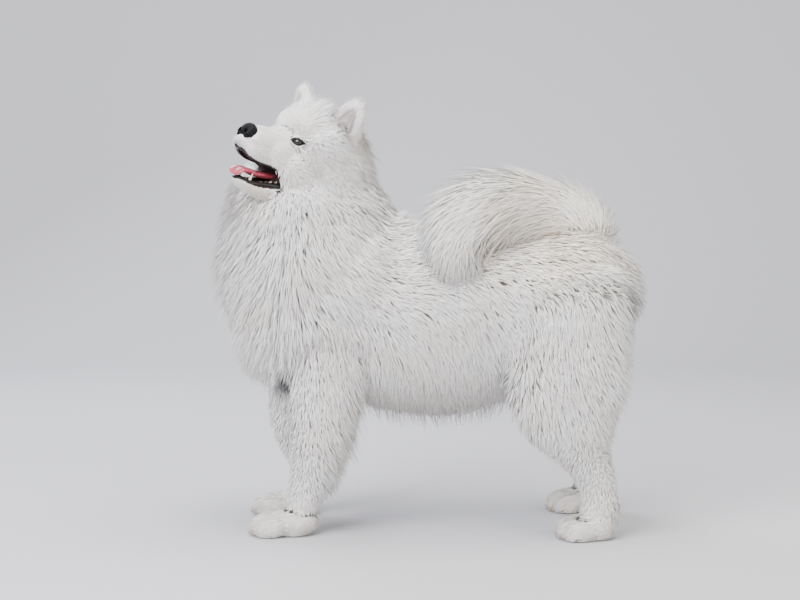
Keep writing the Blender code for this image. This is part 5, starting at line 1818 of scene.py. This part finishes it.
# What the stage holds: name, place, size, power and tint of each light
LIGHTS = (
    ("key_light", (2.3, -1.7, 2.2), 2.4, 190, "#FBFAFF"),
    ("top_light", (0.2, 0.3, 2.7), 2.0, 80, "#FFFDF8"),
    ("fill_light", (2.6, 2.2, 1.2), 2.0, 50, "#FFF6EA"),
    ("rim_light", (-1.8, -1.2, 1.8), 1.2, 40, "#EEF2FF"),
)
LIT_PLACE = Vector((0, 0, 0.4))
CAMERA_PLACE = Vector((3.44, 0, 0.80))
LENS, SENSOR = 85, 36  # millimetres
PICTURE_WIDTH, HALF_HEIGHT, HORIZON_ROW = 800, 300, 90  # pixels


class SAMOYED_OT_stage(bpy.types.Operator):
    """Lay the floor, and set the lights and the camera"""

    bl_idname = "samoyed.stage"
    bl_label = "Stage"

    def execute(self, context):
        scene = context.scene
        sizes, colours = scene.samoyed_sizes, scene.samoyed_colours
        half, bend = sizes.floor_size / 2, 1.2
        wall = -half * 0.45
        profile = [(half * 0.8, 0.0), (wall + bend, 0.0)]
        profile += [(wall + bend - bend * math.sin(a), bend - bend * math.cos(a))
                    for a in np.linspace(0, math.pi / 2, 24)[1:]]
        profile.append((wall, half * 0.8))
        points = [(x, y, z) for x, z in profile for y in (-half, half)]
        faces = [(2 * k, 2 * k + 1, 2 * k + 3, 2 * k + 2) for k in range(len(profile) - 1)]
        floor = piece("floor", points, faces, floor_material(colours.floor))
        world = bpy.data.worlds.new("studio")
        world.use_nodes = True
        sky = world.node_tree.nodes["Background"]
        sky.inputs[0].default_value = rgba(linear("#E6E9F0"))
        sky.inputs[1].default_value = 0.85
        scene.world = world
        for name, place, size, power, tint in LIGHTS:
            data = bpy.data.lights.new(name, "AREA")
            data.energy, data.size, data.color = power, size, linear(tint)
            lamp = bpy.data.objects.new(name, data)
            lamp.location = place
            lamp.rotation_euler = (LIT_PLACE - Vector(place)).to_track_quat("-Z", "Y").to_euler()
            scene.collection.objects.link(lamp)
        data = bpy.data.cameras.new("camera")
        data.lens, data.sensor_width = LENS, SENSOR
        camera = bpy.data.objects.new("camera", data)
        pitch = math.atan((HALF_HEIGHT - HORIZON_ROW) / (LENS / SENSOR * PICTURE_WIDTH))
        camera.location = CAMERA_PLACE + SHIFT
        camera.rotation_euler = (math.pi / 2 - pitch, 0, math.pi / 2)
        scene.collection.objects.link(camera)
        scene.camera = camera
        return {"FINISHED"}


class SAMOYED_PT_panel(bpy.types.Panel):
    """Lists the model's settings and the steps that build it"""

    bl_idname = "SAMOYED_PT_panel"
    bl_label = "Still Samoyed"
    bl_space_type = "VIEW_3D"
    bl_region_type = "UI"
    bl_category = "Samoyed"

    def draw(self, context):
        layout = self.layout
        for group in (context.scene.samoyed_sizes, context.scene.samoyed_colours):
            for name in group.__annotations__:
                layout.prop(group, name)
        for name in STEPS:
            layout.operator(f"samoyed.{name}")


STEPS = ("skin", "eyes", "nose", "mouth", "feet", "whiskers", "coat", "stage")
CLASSES = (SamoyedSizes, SamoyedColours, SAMOYED_OT_skin, SAMOYED_OT_eyes, SAMOYED_OT_nose, SAMOYED_OT_mouth,
           SAMOYED_OT_feet, SAMOYED_OT_whiskers, SAMOYED_OT_coat, SAMOYED_OT_stage, SAMOYED_PT_panel)


def register():
    for each in CLASSES:
        bpy.utils.register_class(each)
    bpy.types.Scene.samoyed_sizes = bpy.props.PointerProperty(type=SamoyedSizes)
    bpy.types.Scene.samoyed_colours = bpy.props.PointerProperty(type=SamoyedColours)


def unregister():
    del bpy.types.Scene.samoyed_colours
    del bpy.types.Scene.samoyed_sizes
    for each in reversed(CLASSES):
        bpy.utils.unregister_class(each)


def main():
    register()
    for name in STEPS:
        if name == "coat":
            for part in COAT_GROUPS:
                bpy.ops.samoyed.coat(part=part)
        else:
            getattr(bpy.ops.samoyed, name)()
    print(f"coat: {made.get('triangles', 0)} triangles")


if __name__ == "__main__":
    main()
